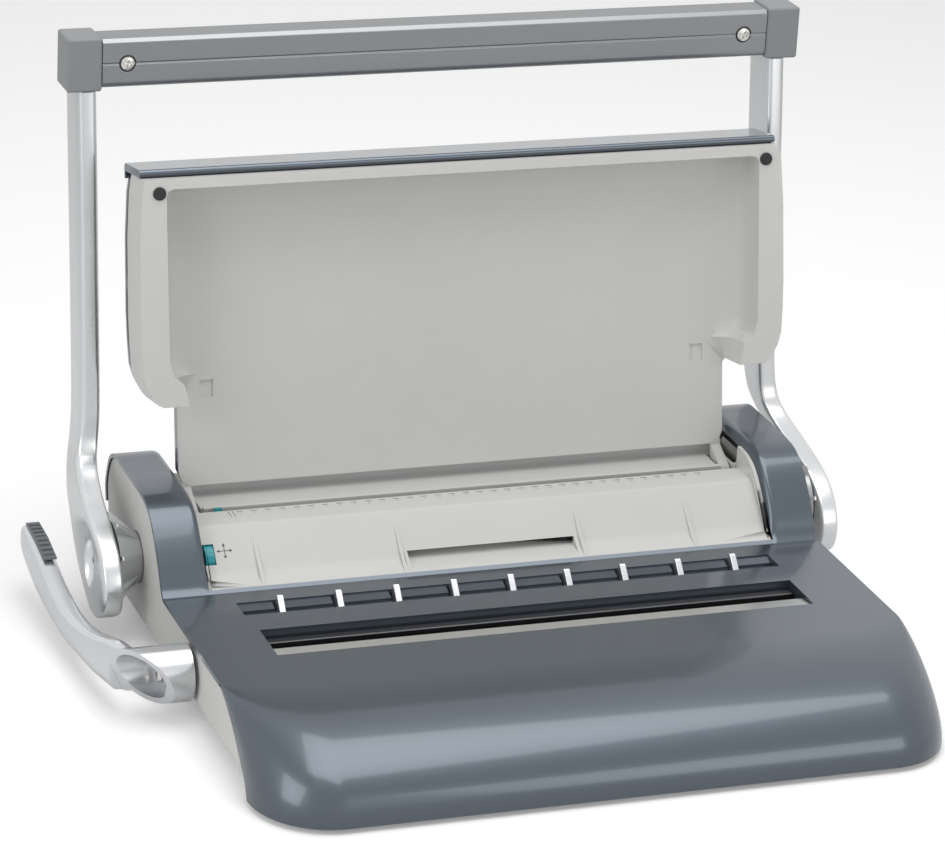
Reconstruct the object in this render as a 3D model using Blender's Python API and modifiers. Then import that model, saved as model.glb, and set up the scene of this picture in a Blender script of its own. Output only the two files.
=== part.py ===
"""A desk wire binding machine: a punch with a full-width handle, a wire closer with a side lever, a paper rest.

Metres, +Z up, the front faces -Y. Places are measured from the rear edge of the closing slot (Y = 0) and
from the table (Z = 0). The last step moves the whole machine so that its box stands over the origin.
"""
import math

import bmesh
import bpy
from mathutils import Matrix, Vector

# Body
BODY_WIDTH = 0.394
DESK_HEIGHT = 0.0455
SHELL_WALL = 0.0025
GAP = 0.0003
OVERRUN = 0.010
FRONT_REACH = 0.160
BEND_REACH = 0.071
SIDE_BEND_REACH = 0.060
SIDE_REACH = 0.116
HOOD_FOOT = 0.003
CORNER_RADIUS = 0.042
SHOULDER_FRONT = 0.052
SHOULDER_TOP = 0.0921
REAR_REACH = 0.182
SHOULDER_INNER = 0.170
SHOULDER_ROLL = 0.004
FOOT_RADIUS = 0.011
FOOT_HEIGHT = 0.005
TRAY_FLOOR = 0.003
TRAY_MARGIN = 0.011
SIDE_DEPTH = 0.010
SIDE_ROUND = 0.010
SIDE_BOTTOM = 0.006

# Closing slot and wire hooks
SLOT_HALF = 0.157
SLOT_DEPTH = 0.034
SLOT_WALL_DROP = 0.010
SLOT_WALL = 0.002
PUNCH_PITCH = 0.0084667
HOOK_COUNT = 9
HOOK_PITCH = 4 * PUNCH_PITCH
HOOK_WIDTH = 0.0036
HOOK_HEIGHT = 0.0042
GROOVE_HALF = 0.1594
GROOVE_REAR = 0.0377
GROOVE_FRONT = 0.0205
GROOVE_DEPTH = 0.0043
GROOVE_FLOOR_WALL = 0.0022
RAIL_HEIGHT = 0.004

# Fascia and paper throat
THROAT_Y = 0.1075
THROAT_Z = 0.0724
PAPER_TILT = math.radians(9.5)
THROAT_GAP = 0.005
PAPER_SLOT = 0.002
PAPER_DEPTH = 0.027
FASCIA_BEVEL_Y = 0.0852
FASCIA_COVE_Y = 0.0665
FASCIA_COVE_Z = 0.053
FASCIA_FOOT_Y = 0.0548
FASCIA_FOOT_Z = 0.0465
FASCIA_CLEARANCE = 0.0018
FASCIA_HALF = SHOULDER_INNER - FASCIA_CLEARANCE
FASCIA_WALL = 0.0022
BEVEL_DROP = 0.0008
BEVEL_RUN = 0.0023
CHEEK_WALL = 0.0022
CHEEK_DROP = 0.0045
RIB_HEIGHT = 0.0018
RIB_WIDTH = 0.0026
NOTCH_HALF = 0.0505
NOTCH_TOP = 0.0545
NOTCH_DEPTH = 0.0165
NOTCH_WALL = 0.002

# Punch
PIN_COUNT = 34
PIN_SIZE = 0.004
PIN_CLEARANCE = 0.0003
PIN_EDGE_MARGIN = 0.0045
DIE_WALL = 0.006
DIE_TOP = 0.008
DIE_BOTTOM = 0.033
DIE_HALF = 0.1722
FRAME_PLATE = 0.0025
CARRIER_GAP = 0.013
CARRIER_THICK = 0.007
CARRIER_LOW = 0.030
CARRIER_HIGH = 0.019
CARRIER_BLOCK = 0.008
RACK_TOP = 0.012
RACK_REACH = 0.034
GEAR_MODULE = 0.001
GEAR_TEETH = 15
GEAR_BACKLASH = 0.0003
RACK_ROOT = 0.00135
GEAR_WIDTH = 0.005

# Handle
PIVOT_Y = 0.112
PIVOT_Z = 0.046
SHAFT_RADIUS = 0.005
ARM_INNER = 0.203
ARM_OUTER = 0.2156
PADDLE_INNER = 0.2114
PADDLE_OUTER = 0.224
BAR_FRONT_Y = 0.189
BAR_DEPTH = 0.022
BAR_LOW = 0.298
BAR_HEIGHT = 0.0285
BAR_HALF = 0.2011
BAR_WALL = 0.0022
BAR_GROOVE = 0.0006
CAP_OUTER = 0.2215
CAP_MARGIN = 0.0012
CAP_TENON = 0.020
HUB_SMALL_RADIUS = 0.0135
HUB_LARGE_RADIUS = 0.022
HUB_FACE = 0.1943
HUB_FINS = 8
HUB_SIDES = 16
SMALL_SIDES = 12
FIN_START_SHARE = 0.2
FIN_ROOT = 0.004
FIN_RISE = 0.0015
FIN_EDGE = 0.001
FIN_THICK = 0.0022
FIN_REACH = 0.0265
DISH_RADIUS_Y = 0.011
DISH_RADIUS_Z = 0.016
DISH_DEPTH = 0.0035
DISH_OUT_SHARE = 0.4
DISH_FLOOR_SHARE = 1.6
ARM_WALL = 0.0032
SCREW_HEAD_RADIUS = 0.0042
SCREW_SHANK_RADIUS = 0.002
SCREW_HEAD_HEIGHT = 0.0022
SCREW_X = 0.1866

# Closer
CLOSER_Y = -0.005
CLOSER_Z = 0.027
CLOSER_SHAFT_RADIUS = 0.005
LEVER_HUB_RADIUS = 0.016
LEVER_BORE_RADIUS = 0.0125
LEVER_HUB_INNER = 0.1985
LEVER_HUB_FACE = 0.224
LEVER_BORE_FLOOR = 0.2135
LEVER_REACH = 0.191
JAW_TRAVEL = 0.008
JAW_THICK = 0.006
JAW_HEIGHT = 0.0067
ANVIL_DEPTH = 0.0137
ANVIL_HEIGHT = 0.007
CAM_LIFT = 0.0012
POST_HALF = 0.003

# Paper rest
LID_PIVOT_Y = 0.120
LID_PIVOT_Z = 0.065
LID_RIM = 0.018
LID_FLOOR = 0.009
LID_FLOOR_WALL = 0.002
LID_BACK = 0.024
LID_SHELL_WALL = 0.002
LID_NECK_BOTTOM = 0.015
LID_NECK_HALF = 0.167
LID_EAR_BOTTOM = 0.067
LID_TOP = 0.1955
LID_HALF = 0.1925
LID_SWELL = 0.0015
LID_POCKET_HALF = 0.178
LID_POCKET_TOP = 0.190
BEAD_HEIGHT = 0.0045
BEAD_FRONT = 0.010
BUMPER_RADIUS = 0.00375
BUMPER_PROUD = 0.0012
BUMPER_X = 0.182
BUMPER_UP = 0.188
LID_PIN_RADIUS = 0.003
LUG_CLEARANCE = 0.001
LUG_THICK = 0.006
LUG_OUTER = LID_NECK_HALF - LUG_CLEARANCE
LUG_INNER = LUG_OUTER - LUG_THICK
LUG_RADIUS = 0.006

# Edge guide and its wheel
WHEEL_RADIUS = 0.010
WHEEL_CLEARANCE = 0.0006
WHEEL_THICK = 0.0052
WHEEL_LEFT = FASCIA_HALF - WHEEL_CLEARANCE
WHEEL_RIGHT = WHEEL_LEFT - WHEEL_THICK
WHEEL_PROUD = 0.0015
WHEEL_FACE_Z = 0.060
SPINDLE_RADIUS = 0.0022
GUIDE_LEFT = 0.1530
GUIDE_WIDTH = 0.0045
GUIDE_TRAVEL = 0.005

# Chip drawer
DRAWER_HALF = 0.150
DRAWER_FRONT = 0.084
DRAWER_BACK = 0.1775
DRAWER_TOP = 0.032
DRAWER_WALL = 0.002
DRAWER_FACE = 0.003

ROOT = "machine"
HALF_WIDTH = BODY_WIDTH / 2
TILT_MATRIX = Matrix.Translation((0, THROAT_Y, THROAT_Z)) @ Matrix.Rotation(-PAPER_TILT, 4, "X")


def clear_scene():
    """Start from an empty file."""
    for old in list(bpy.data.objects):
        bpy.data.objects.remove(old, do_unlink=True)


def new_collection(name):
    """A collection linked to the scene."""
    made = bpy.data.collections.new(name)
    bpy.context.scene.collection.children.link(made)
    return made


clear_scene()
PARTS = new_collection("wire_binding_machine")
CUTTERS = new_collection("cutters")


def finish(name, colour, roughness, metallic=0.0):
    """A plain Principled material."""
    made = bpy.data.materials.new(name)
    made.use_nodes = True
    shader = made.node_tree.nodes["Principled BSDF"]
    shader.inputs["Base Color"].default_value = (*colour, 1.0)
    shader.inputs["Roughness"].default_value = roughness
    shader.inputs["Metallic"].default_value = metallic
    return made


BLUE_GREY = finish("hood_paint", (0.12, 0.17, 0.22), 0.28, 0.5)
BEIGE = finish("moulded_beige", (0.58, 0.58, 0.56), 0.45)
SILVER = finish("silver_paint", (0.62, 0.63, 0.64), 0.3, 0.8)
SILVER_PLASTIC = finish("silver_plastic", (0.58, 0.59, 0.61), 0.35, 0.6)
ANODISED = finish("anodised_bar", (0.25, 0.26, 0.27), 0.38, 0.9)
GREY_CAP = finish("cap_grey", (0.30, 0.31, 0.32), 0.5)
STEEL = finish("plain_steel", (0.60, 0.60, 0.59), 0.3, 1.0)
TEAL = finish("teal_plastic", (0.0, 0.35, 0.40), 0.35)
RUBBER = finish("black_rubber", (0.02, 0.02, 0.022), 0.7)
DARK_GREY = finish("grip_grey", (0.16, 0.17, 0.18), 0.5)


def anchor(name, location):
    """An empty on a joint's axis, which carries one moving body."""
    made = bpy.data.objects.new(name, None)
    made.location = location
    made.empty_display_size = SHAFT_RADIUS
    PARTS.objects.link(made)
    if name != ROOT:
        made.parent = MACHINE
    return made


MACHINE = None
MACHINE = anchor(ROOT, (0, 0, 0))
HANDLE = anchor("handle_pivot", (0, PIVOT_Y, PIVOT_Z))
CLOSER = anchor("closer_pivot", (0, CLOSER_Y, CLOSER_Z))
LID = anchor("lid_pivot", (0, LID_PIVOT_Y, LID_PIVOT_Z))
PUNCH = anchor("punch_slide", TILT_MATRIX @ Vector((0, CARRIER_GAP, -PAPER_DEPTH)))
JAW = anchor("jaw_slide", (0, CLOSER_Y, DESK_HEIGHT))
DRAWER = anchor("drawer_slide", (0, DRAWER_FRONT, TRAY_FLOOR))


def to_object(name, bm, paint, carrier, collection):
    """Store a bmesh drawn in the machine's own frame as an object under its anchor."""
    bmesh.ops.recalc_face_normals(bm, faces=bm.faces[:])
    mesh = bpy.data.meshes.new(name)
    bm.to_mesh(mesh)
    bm.free()
    mesh.transform(Matrix.Translation(-carrier.location))
    if paint is not None:
        mesh.materials.append(paint)
    made = bpy.data.objects.new(name, mesh)
    made.parent = carrier
    collection.objects.link(made)
    return made


def piece(name, bm, paint, carrier=None, smooth=True):
    """One named part of the machine."""
    made = to_object(name, bm, paint, carrier or MACHINE, PARTS)
    if smooth:
        made.data.shade_smooth()
        made.data.set_sharp_from_angle(angle=math.radians(32))
    return made


def combine(target, bm, operation="DIFFERENCE", self_overlap=False):
    """Cut a shape from a part, or join one to it, with a hidden tool."""
    tool = to_object(f"{target.name}_tool", bm, None, target.parent, CUTTERS)
    tool.hide_render = True
    tool.display_type = "WIRE"
    change = target.modifiers.new(operation.lower(), "BOOLEAN")
    change.operation = operation
    change.solver = "EXACT"
    change.use_self = self_overlap
    change.object = tool
    return change


def soften(target, width, segments=2, angle=40):
    """Round the sharp edges of a part."""
    change = target.modifiers.new("edges", "BEVEL")
    change.width = width
    change.segments = segments
    change.limit_method = "ANGLE"
    change.angle_limit = math.radians(angle)
    change.use_clamp_overlap = True
    return change


def block(bm, low, high):
    """Add a box between two corners."""
    low, high = Vector(low), Vector(high)
    made = bmesh.ops.create_cube(bm, size=1.0)["verts"]
    bmesh.ops.scale(bm, vec=high - low, verts=made)
    bmesh.ops.translate(bm, vec=(low + high) / 2, verts=made)
    return made


def drum(bm, start, end, radius, end_radius=None, sides=20):
    """Add a cylinder or a cone between two points."""
    start, end = Vector(start), Vector(end)
    run = end - start
    turn = run.to_track_quat("Z", "Y").to_matrix().to_4x4()
    place = Matrix.Translation((start + end) / 2) @ turn
    last = radius if end_radius is None else end_radius
    made = bmesh.ops.create_cone(bm, cap_ends=True, segments=sides, radius1=radius, radius2=last,
                                 depth=run.length, matrix=place)
    return made["verts"]


def slab(bm, outline, near, far):
    """Extrude a (y, z) outline along X."""
    ring = [bm.verts.new((near, y, z)) for y, z in outline]
    face = bm.faces.new(ring)
    grown = bmesh.ops.extrude_face_region(bm, geom=[face])["geom"]
    moved = [item for item in grown if isinstance(item, bmesh.types.BMVert)]
    bmesh.ops.translate(bm, vec=(far - near, 0, 0), verts=moved)
    return ring + moved


def sheet(bm, outline, low, high):
    """Extrude an (x, y) outline upwards."""
    ring = [bm.verts.new((x, y, low)) for x, y in outline]
    face = bm.faces.new(ring)
    grown = bmesh.ops.extrude_face_region(bm, geom=[face])["geom"]
    moved = [item for item in grown if isinstance(item, bmesh.types.BMVert)]
    bmesh.ops.translate(bm, vec=(0, 0, high - low), verts=moved)
    return ring + moved


def loft(bm, sections, closed=True):
    """Skin a row of rings, with flat ends where the rings are closed."""
    rings = [[bm.verts.new(point) for point in section] for section in sections]
    for first, second in zip(rings, rings[1:]):
        count = len(first) if closed else len(first) - 1
        for here in range(count):
            after = (here + 1) % len(first)
            bm.faces.new((first[here], first[after], second[after], second[here]))
    if closed:
        bm.faces.new(rings[0])
        bm.faces.new(rings[-1])


def shares_to_points(shares, corner, size):
    """Points of an outline from shares of a rectangle."""
    return [(corner[0] + y * size[0], corner[1] + z * size[1]) for y, z in shares]


def offset_line(points, distance):
    """Shift an open line sideways, to the right of its run."""
    normals = []
    for (y0, z0), (y1, z1) in zip(points, points[1:]):
        length = math.hypot(y1 - y0, z1 - z0)
        normals.append(((z1 - z0) / length, -(y1 - y0) / length))
    moved = []
    for index, (y, z) in enumerate(points):
        before = normals[max(index - 1, 0)]
        after = normals[min(index, len(normals) - 1)]
        ny, nz = before[0] + after[0], before[1] + after[1]
        spread = 1 + before[0] * after[0] + before[1] * after[1]
        moved.append((y + distance * ny / spread, z + distance * nz / spread))
    return moved


def walled(points, thickness):
    """A closed outline around an open line, thickened to the right of its run."""
    return points + offset_line(points, thickness)[::-1]


def arc(centre, radius_y, radius_z, start, end, steps):
    """Points of an elliptical arc in the (y, z) plane."""
    made = []
    for step in range(steps + 1):
        angle = math.radians(start + (end - start) * step / steps)
        made.append((centre[0] + radius_y * math.cos(angle), centre[1] + radius_z * math.sin(angle)))
    return made


def rounded_ring(low_x, high_x, low_y, high_y, z, squareness, steps=16):
    """A level ring between a rectangle and an ellipse."""
    made = []
    mid_x, mid_y = (low_x + high_x) / 2, (low_y + high_y) / 2
    for step in range(steps):
        angle = 2 * math.pi * (step + 0.5) / steps
        cosine, sine = math.cos(angle), math.sin(angle)
        x = mid_x + (high_x - low_x) / 2 * math.copysign(abs(cosine) ** squareness, cosine)
        y = mid_y + (high_y - low_y) / 2 * math.copysign(abs(sine) ** squareness, sine)
        made.append((x, y, z))
    return made


# The hood's side profile, from the rear to the shoulder's foot, as shares of its depth and rise
SHOULDER_SHARES = [(0.985, 0.18), (1.0, 0.42), (0.975, 0.64), (0.93, 0.85), (0.85, 0.985), (0.74, 1.0),
                   (0.66, 0.995), (0.49, 0.966), (0.33, 0.90), (0.23, 0.773), (0.145, 0.536),
                   (0.075, 0.279), (0.035, 0.09), (0.0, 0.0)]
FRONT_STEPS = 8
FRONT_FULLNESS_SHARE = 2.3
SIDE_FULLNESS_SHARE = 1.35


def shoulder_line():
    """The shoulder from its rear end to the desk."""
    corner = (SHOULDER_FRONT, DESK_HEIGHT)
    size = (REAR_REACH - SHOULDER_FRONT, SHOULDER_TOP - DESK_HEIGHT)
    return shares_to_points(SHOULDER_SHARES, corner, size)


def front_line(bend, reach, fullness):
    """The front face from the bend to its foot, a superellipse."""
    made = []
    for step in range(FRONT_STEPS + 1):
        angle = math.pi / 2 * step / FRONT_STEPS
        out = math.sin(angle) ** (2 / fullness)
        up = math.cos(angle) ** (2 / fullness) if step < FRONT_STEPS else 0.0
        made.append((-bend - (reach - bend) * out, HOOD_FOOT + (DESK_HEIGHT - HOOD_FOOT) * up))
    return made


def hood_line(blend):
    """The hood's profile, from the middle (0) to the side rim (1)."""
    desk = [(0.0, DESK_HEIGHT), (-SLOT_DEPTH, DESK_HEIGHT)]
    middle = shoulder_line() + desk + front_line(BEND_REACH, FRONT_REACH, FRONT_FULLNESS_SHARE)
    side = shoulder_line() + desk + front_line(SIDE_BEND_REACH, SIDE_REACH, SIDE_FULLNESS_SHARE)
    return [(a[0] + (b[0] - a[0]) * blend, a[1] + (b[1] - a[1]) * blend) for a, b in zip(middle, side)]


def corner_blend(across):
    """How far the plan corner has turned at a distance from the middle."""
    inside = max(0.0, across - (HALF_WIDTH - CORNER_RADIUS)) / CORNER_RADIUS
    return 1 - math.sqrt(max(0.0, 1 - inside ** 2))


def rolled(line, across):
    """Roll the shoulder's inner edge down."""
    inside = min(SHOULDER_ROLL, max(0.0, SHOULDER_INNER + SHOULDER_ROLL - across))
    drop = SHOULDER_ROLL - math.sqrt(SHOULDER_ROLL ** 2 - inside ** 2)
    lower = offset_line(line, -drop)
    made = []
    for (y, z), (ly, lz) in zip(line, lower):
        weight = min(1.0, max(0.0, (z - DESK_HEIGHT) / SHOULDER_ROLL / 4)) if y > SHOULDER_FRONT else 0.0
        made.append((y + (ly - y) * weight, z + (lz - z) * weight))
    return made


def hood():
    """The painted hood: shoulders, desk and front in one moulding."""
    corner_angles = [0, 18, 36, 52, 66, 79, 90]
    reach = [HALF_WIDTH - CORNER_RADIUS + CORNER_RADIUS * math.sin(math.radians(a)) for a in corner_angles]
    roll = [SHOULDER_INNER - GAP, SHOULDER_INNER + SHOULDER_ROLL * 0.3, SHOULDER_INNER + SHOULDER_ROLL]
    across = sorted(reach + roll)
    stations = [-value for value in across[::-1]] + across
    bm = bmesh.new()
    sections = []
    for x in stations:
        line = rolled(hood_line(corner_blend(abs(x))), abs(x))
        sections.append([(x, y, z) for y, z in line])
    loft(bm, sections, closed=False)
    made = piece("hood", bm, BLUE_GREY)
    wall = made.modifiers.new("wall", "SOLIDIFY")
    wall.thickness = SHELL_WALL
    wall.offset = -1

    extra = bmesh.new()
    slot_low = DESK_HEIGHT - SLOT_WALL_DROP
    block(extra, (-SLOT_HALF - SLOT_WALL, -SLOT_DEPTH - SLOT_WALL, slot_low),
          (SLOT_HALF + SLOT_WALL, SLOT_WALL, DESK_HEIGHT - SHELL_WALL / 2))
    groove_low = DESK_HEIGHT - GROOVE_DEPTH - GROOVE_FLOOR_WALL
    block(extra, (-GROOVE_HALF - SLOT_WALL, GROOVE_FRONT - SLOT_WALL, groove_low),
          (GROOVE_HALF + SLOT_WALL, GROOVE_REAR + SLOT_WALL, DESK_HEIGHT - SHELL_WALL / 2))
    combine(made, extra, "UNION")

    opening = bmesh.new()
    block(opening, (-SHOULDER_INNER, FASCIA_FOOT_Y - GAP, 0),
          (SHOULDER_INNER, REAR_REACH + OVERRUN, SHOULDER_TOP + OVERRUN))
    block(opening, (-SLOT_HALF, -SLOT_DEPTH, 0), (SLOT_HALF, 0, SHOULDER_TOP))
    combine(made, opening, self_overlap=True)

    groove = bmesh.new()
    top = DESK_HEIGHT + OVERRUN
    width = GROOVE_REAR - GROOVE_FRONT
    steps = [(1.0, 0.21), (0.62, 0.58), (0.62, 1.0), (0.24, 1.0), (0.24, 0.67), (0.0, 0.26)]
    line = [(GROOVE_FRONT + width * y, DESK_HEIGHT - GROOVE_DEPTH * z) for y, z in steps]
    slab(groove, [(GROOVE_REAR, top)] + line + [(GROOVE_FRONT, top)], -GROOVE_HALF, GROOVE_HALF)
    for x in hook_places():
        block(groove, (x - HOOK_WIDTH * 0.95, GROOVE_FRONT + width * 0.28, groove_low - OVERRUN),
              (x + HOOK_WIDTH * 0.6, GROOVE_REAR - GAP, DESK_HEIGHT + GAP))
    combine(made, groove, self_overlap=True)
    return made


def hook_places():
    """The hooks' places across the desk."""
    return [HOOK_PITCH * (index - (HOOK_COUNT - 1) / 2) for index in range(HOOK_COUNT)]


def wire_hooks():
    """Nine hooks on a hidden rail, which hold a wire comb open."""
    bm = bmesh.new()
    rail_top = DESK_HEIGHT - GROOVE_DEPTH - GROOVE_FLOOR_WALL - GAP
    depth = GROOVE_REAR - GROOVE_FRONT
    block(bm, (-GROOVE_HALF, GROOVE_FRONT + depth * 0.2, rail_top - RAIL_HEIGHT),
          (GROOVE_HALF, GROOVE_REAR, rail_top))
    made = piece("wire_hooks", bm, SILVER_PLASTIC)
    fins = bmesh.new()
    shares = [(0.93, 0.0), (0.93, 0.87), (0.86, 0.97), (0.80, 1.0), (0.34, 0.42), (0.34, 0.0)]
    low = rail_top - RAIL_HEIGHT / 2
    high = DESK_HEIGHT + HOOK_HEIGHT
    outline = shares_to_points(shares, (GROOVE_FRONT, low), (depth, high - low))
    for x in hook_places():
        slab(fins, outline, x - HOOK_WIDTH / 2, x + HOOK_WIDTH / 2)
    combine(made, fins, "UNION")
    return made


def base_tray():
    """The bottom tray with the drawer's runners."""
    bm = bmesh.new()
    half = HALF_WIDTH - TRAY_MARGIN
    front = -FRONT_REACH + TRAY_MARGIN
    corner = CORNER_RADIUS - TRAY_MARGIN
    outline = [(-half, REAR_REACH - TRAY_MARGIN), (-half, -SIDE_REACH + corner)]
    outline += [(-half + corner - corner * math.cos(a), front + corner - corner * math.sin(a))
                for a in (math.radians(15 * step) for step in range(1, 6))]
    outline += [(-x, y) for x, y in outline[::-1]]
    sheet(bm, outline, FOOT_HEIGHT, FOOT_HEIGHT + TRAY_FLOOR)
    made = piece("base_tray", bm, BEIGE)

    runners = bmesh.new()
    low = FOOT_HEIGHT + TRAY_FLOOR / 2
    for side in (-1, 1):
        near = side * (DRAWER_HALF + GAP)
        far = near + side * DRAWER_WALL
        block(runners, (min(near, far), DRAWER_FRONT, low),
              (max(near, far), DRAWER_BACK - TRAY_MARGIN, FOOT_HEIGHT * 2))
    combine(made, runners, "UNION")
    return made


def closer_bed():
    """The plate under the slot: bearings for the closer's shaft and supports for the fixed jaw."""
    floor = FOOT_HEIGHT + TRAY_FLOOR + GAP
    low = floor + TRAY_FLOOR / 2
    half = SLOT_HALF - GAP
    rear = CLOSER_Y + LEVER_HUB_RADIUS / 2
    bm = bmesh.new()
    block(bm, (-half, -SLOT_DEPTH, floor), (half, rear, floor + TRAY_FLOOR))
    made = piece("closer_bed", bm, STEEL)
    posts = bmesh.new()
    for side in (-1, 1):
        bearing = side * (SLOT_HALF - POST_HALF * 2)
        block(posts, (bearing - POST_HALF, CLOSER_Y - LEVER_HUB_RADIUS / 2, low),
              (bearing + POST_HALF, rear - GAP, jaw_low() - GAP))
    for x in (-SLOT_HALF / 2, 0, SLOT_HALF / 2):
        block(posts, (x - POST_HALF, -SLOT_DEPTH + POST_HALF, low),
              (x + POST_HALF, -SLOT_DEPTH + ANVIL_DEPTH - POST_HALF, anvil_low() - GAP))
    combine(made, posts, "UNION")
    bores = bmesh.new()
    drum(bores, (-SLOT_HALF, CLOSER_Y, CLOSER_Z), (SLOT_HALF, CLOSER_Y, CLOSER_Z),
         CLOSER_SHAFT_RADIUS + GAP)
    combine(made, bores)
    return made


def jaw_low():
    """The underside of the moving jaw, just above the closer shaft's cams."""
    return CLOSER_Z + CLOSER_SHAFT_RADIUS + CAM_LIFT + GAP * 3


def anvil_low():
    """The underside of the fixed jaw."""
    return DESK_HEIGHT - ANVIL_HEIGHT - SHELL_WALL


def feet():
    """Four rubber feet under the tray."""
    half = HALF_WIDTH - TRAY_MARGIN - FOOT_RADIUS * 2
    front = -SIDE_REACH + FOOT_RADIUS
    rear = REAR_REACH - TRAY_MARGIN - FOOT_RADIUS * 2
    places = {"foot_front_left": (-half, front), "foot_front_right": (half, front),
              "foot_rear_left": (-half, rear), "foot_rear_right": (half, rear)}
    for name, (x, y) in places.items():
        bm = bmesh.new()
        drum(bm, (x, y, 0), (x, y, FOOT_HEIGHT - GAP), FOOT_RADIUS, FOOT_RADIUS * 0.85)
        piece(name, bm, RUBBER)


def side_outline(inset, bottom):
    """The side cover's outline under the hood's rim."""
    snug = offset_line(hood_line(1.0), -(SHELL_WALL + GAP + inset))
    rim = [(y, z) if y > -SLOT_DEPTH else (y + SHELL_WALL, z) for y, z in snug]
    limit = min(y for y, z in rim if z > bottom + inset)
    rim = [(max(y, limit + GAP), max(z, bottom + inset + GAP * (len(rim) - index) / len(rim)))
           for index, (y, z) in enumerate(rim)]
    front = rim[-1][0]
    rear = rim[0][0]
    low = bottom + inset
    bottoms = [(front + (rear - front) * share, low) for share in (0.02, 0.34, 0.67, 0.98)]
    return rim + bottoms


def side_cover(side):
    """One beige side cover with a rounded underside."""
    name = "side_cover_left" if side < 0 else "side_cover_right"
    outer = HALF_WIDTH - GAP * 3
    inner = outer - SIDE_DEPTH
    bm = bmesh.new()
    sections = []
    for turn in (0, 30, 55, 75, 90):
        out = math.sin(math.radians(turn))
        lift = SIDE_ROUND * (1 - math.cos(math.radians(turn)))
        x = side * (inner + SIDE_DEPTH * out)
        sections.append([(x, y, z) for y, z in side_outline(0.0, SIDE_BOTTOM + lift)])
    loft(bm, sections)
    made = piece(name, bm, BEIGE)
    hollow = bmesh.new()
    slab(hollow, side_outline(SHELL_WALL, SIDE_BOTTOM + SIDE_ROUND / 2), side * (inner - OVERRUN),
         side * (outer - SHELL_WALL - GAP * 4))
    combine(made, hollow)
    holes = bmesh.new()
    drum(holes, (side * (inner - OVERRUN), PIVOT_Y, PIVOT_Z), (side * (outer + OVERRUN), PIVOT_Y, PIVOT_Z),
         SHAFT_RADIUS + GAP)
    drum(holes, (side * (HUB_FACE - GAP), PIVOT_Y, PIVOT_Z), (side * (outer + OVERRUN), PIVOT_Y, PIVOT_Z),
         HUB_SMALL_RADIUS + GAP * 5, sides=32)
    if side < 0:
        drum(holes, (side * (inner - OVERRUN), CLOSER_Y, CLOSER_Z),
             (side * (outer + OVERRUN), CLOSER_Y, CLOSER_Z), CLOSER_SHAFT_RADIUS + GAP)
    combine(made, holes, self_overlap=True)
    return made


def fascia_line():
    """The fascia's outer line, from the throat to the desk."""
    return [(THROAT_Y - THROAT_GAP / 2, THROAT_Z), (FASCIA_BEVEL_Y + BEVEL_RUN, THROAT_Z),
            (FASCIA_BEVEL_Y, THROAT_Z - BEVEL_DROP), (FASCIA_COVE_Y, FASCIA_COVE_Z),
            (FASCIA_COVE_Y - (FASCIA_COVE_Y - FASCIA_FOOT_Y) * 0.35,
             FASCIA_COVE_Z - (FASCIA_COVE_Z - FASCIA_FOOT_Z) * 0.5),
            (FASCIA_FOOT_Y, FASCIA_FOOT_Z)]


def face_point(z):
    """The y of the fascia's sloping face at a height."""
    share = (z - FASCIA_COVE_Z) / (THROAT_Z - BEVEL_DROP - FASCIA_COVE_Z)
    return FASCIA_COVE_Y + (FASCIA_BEVEL_Y - FASCIA_COVE_Y) * share


RIB_PLACES_SHARE = (-0.70, -0.275, 0.275, 0.62)


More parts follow.
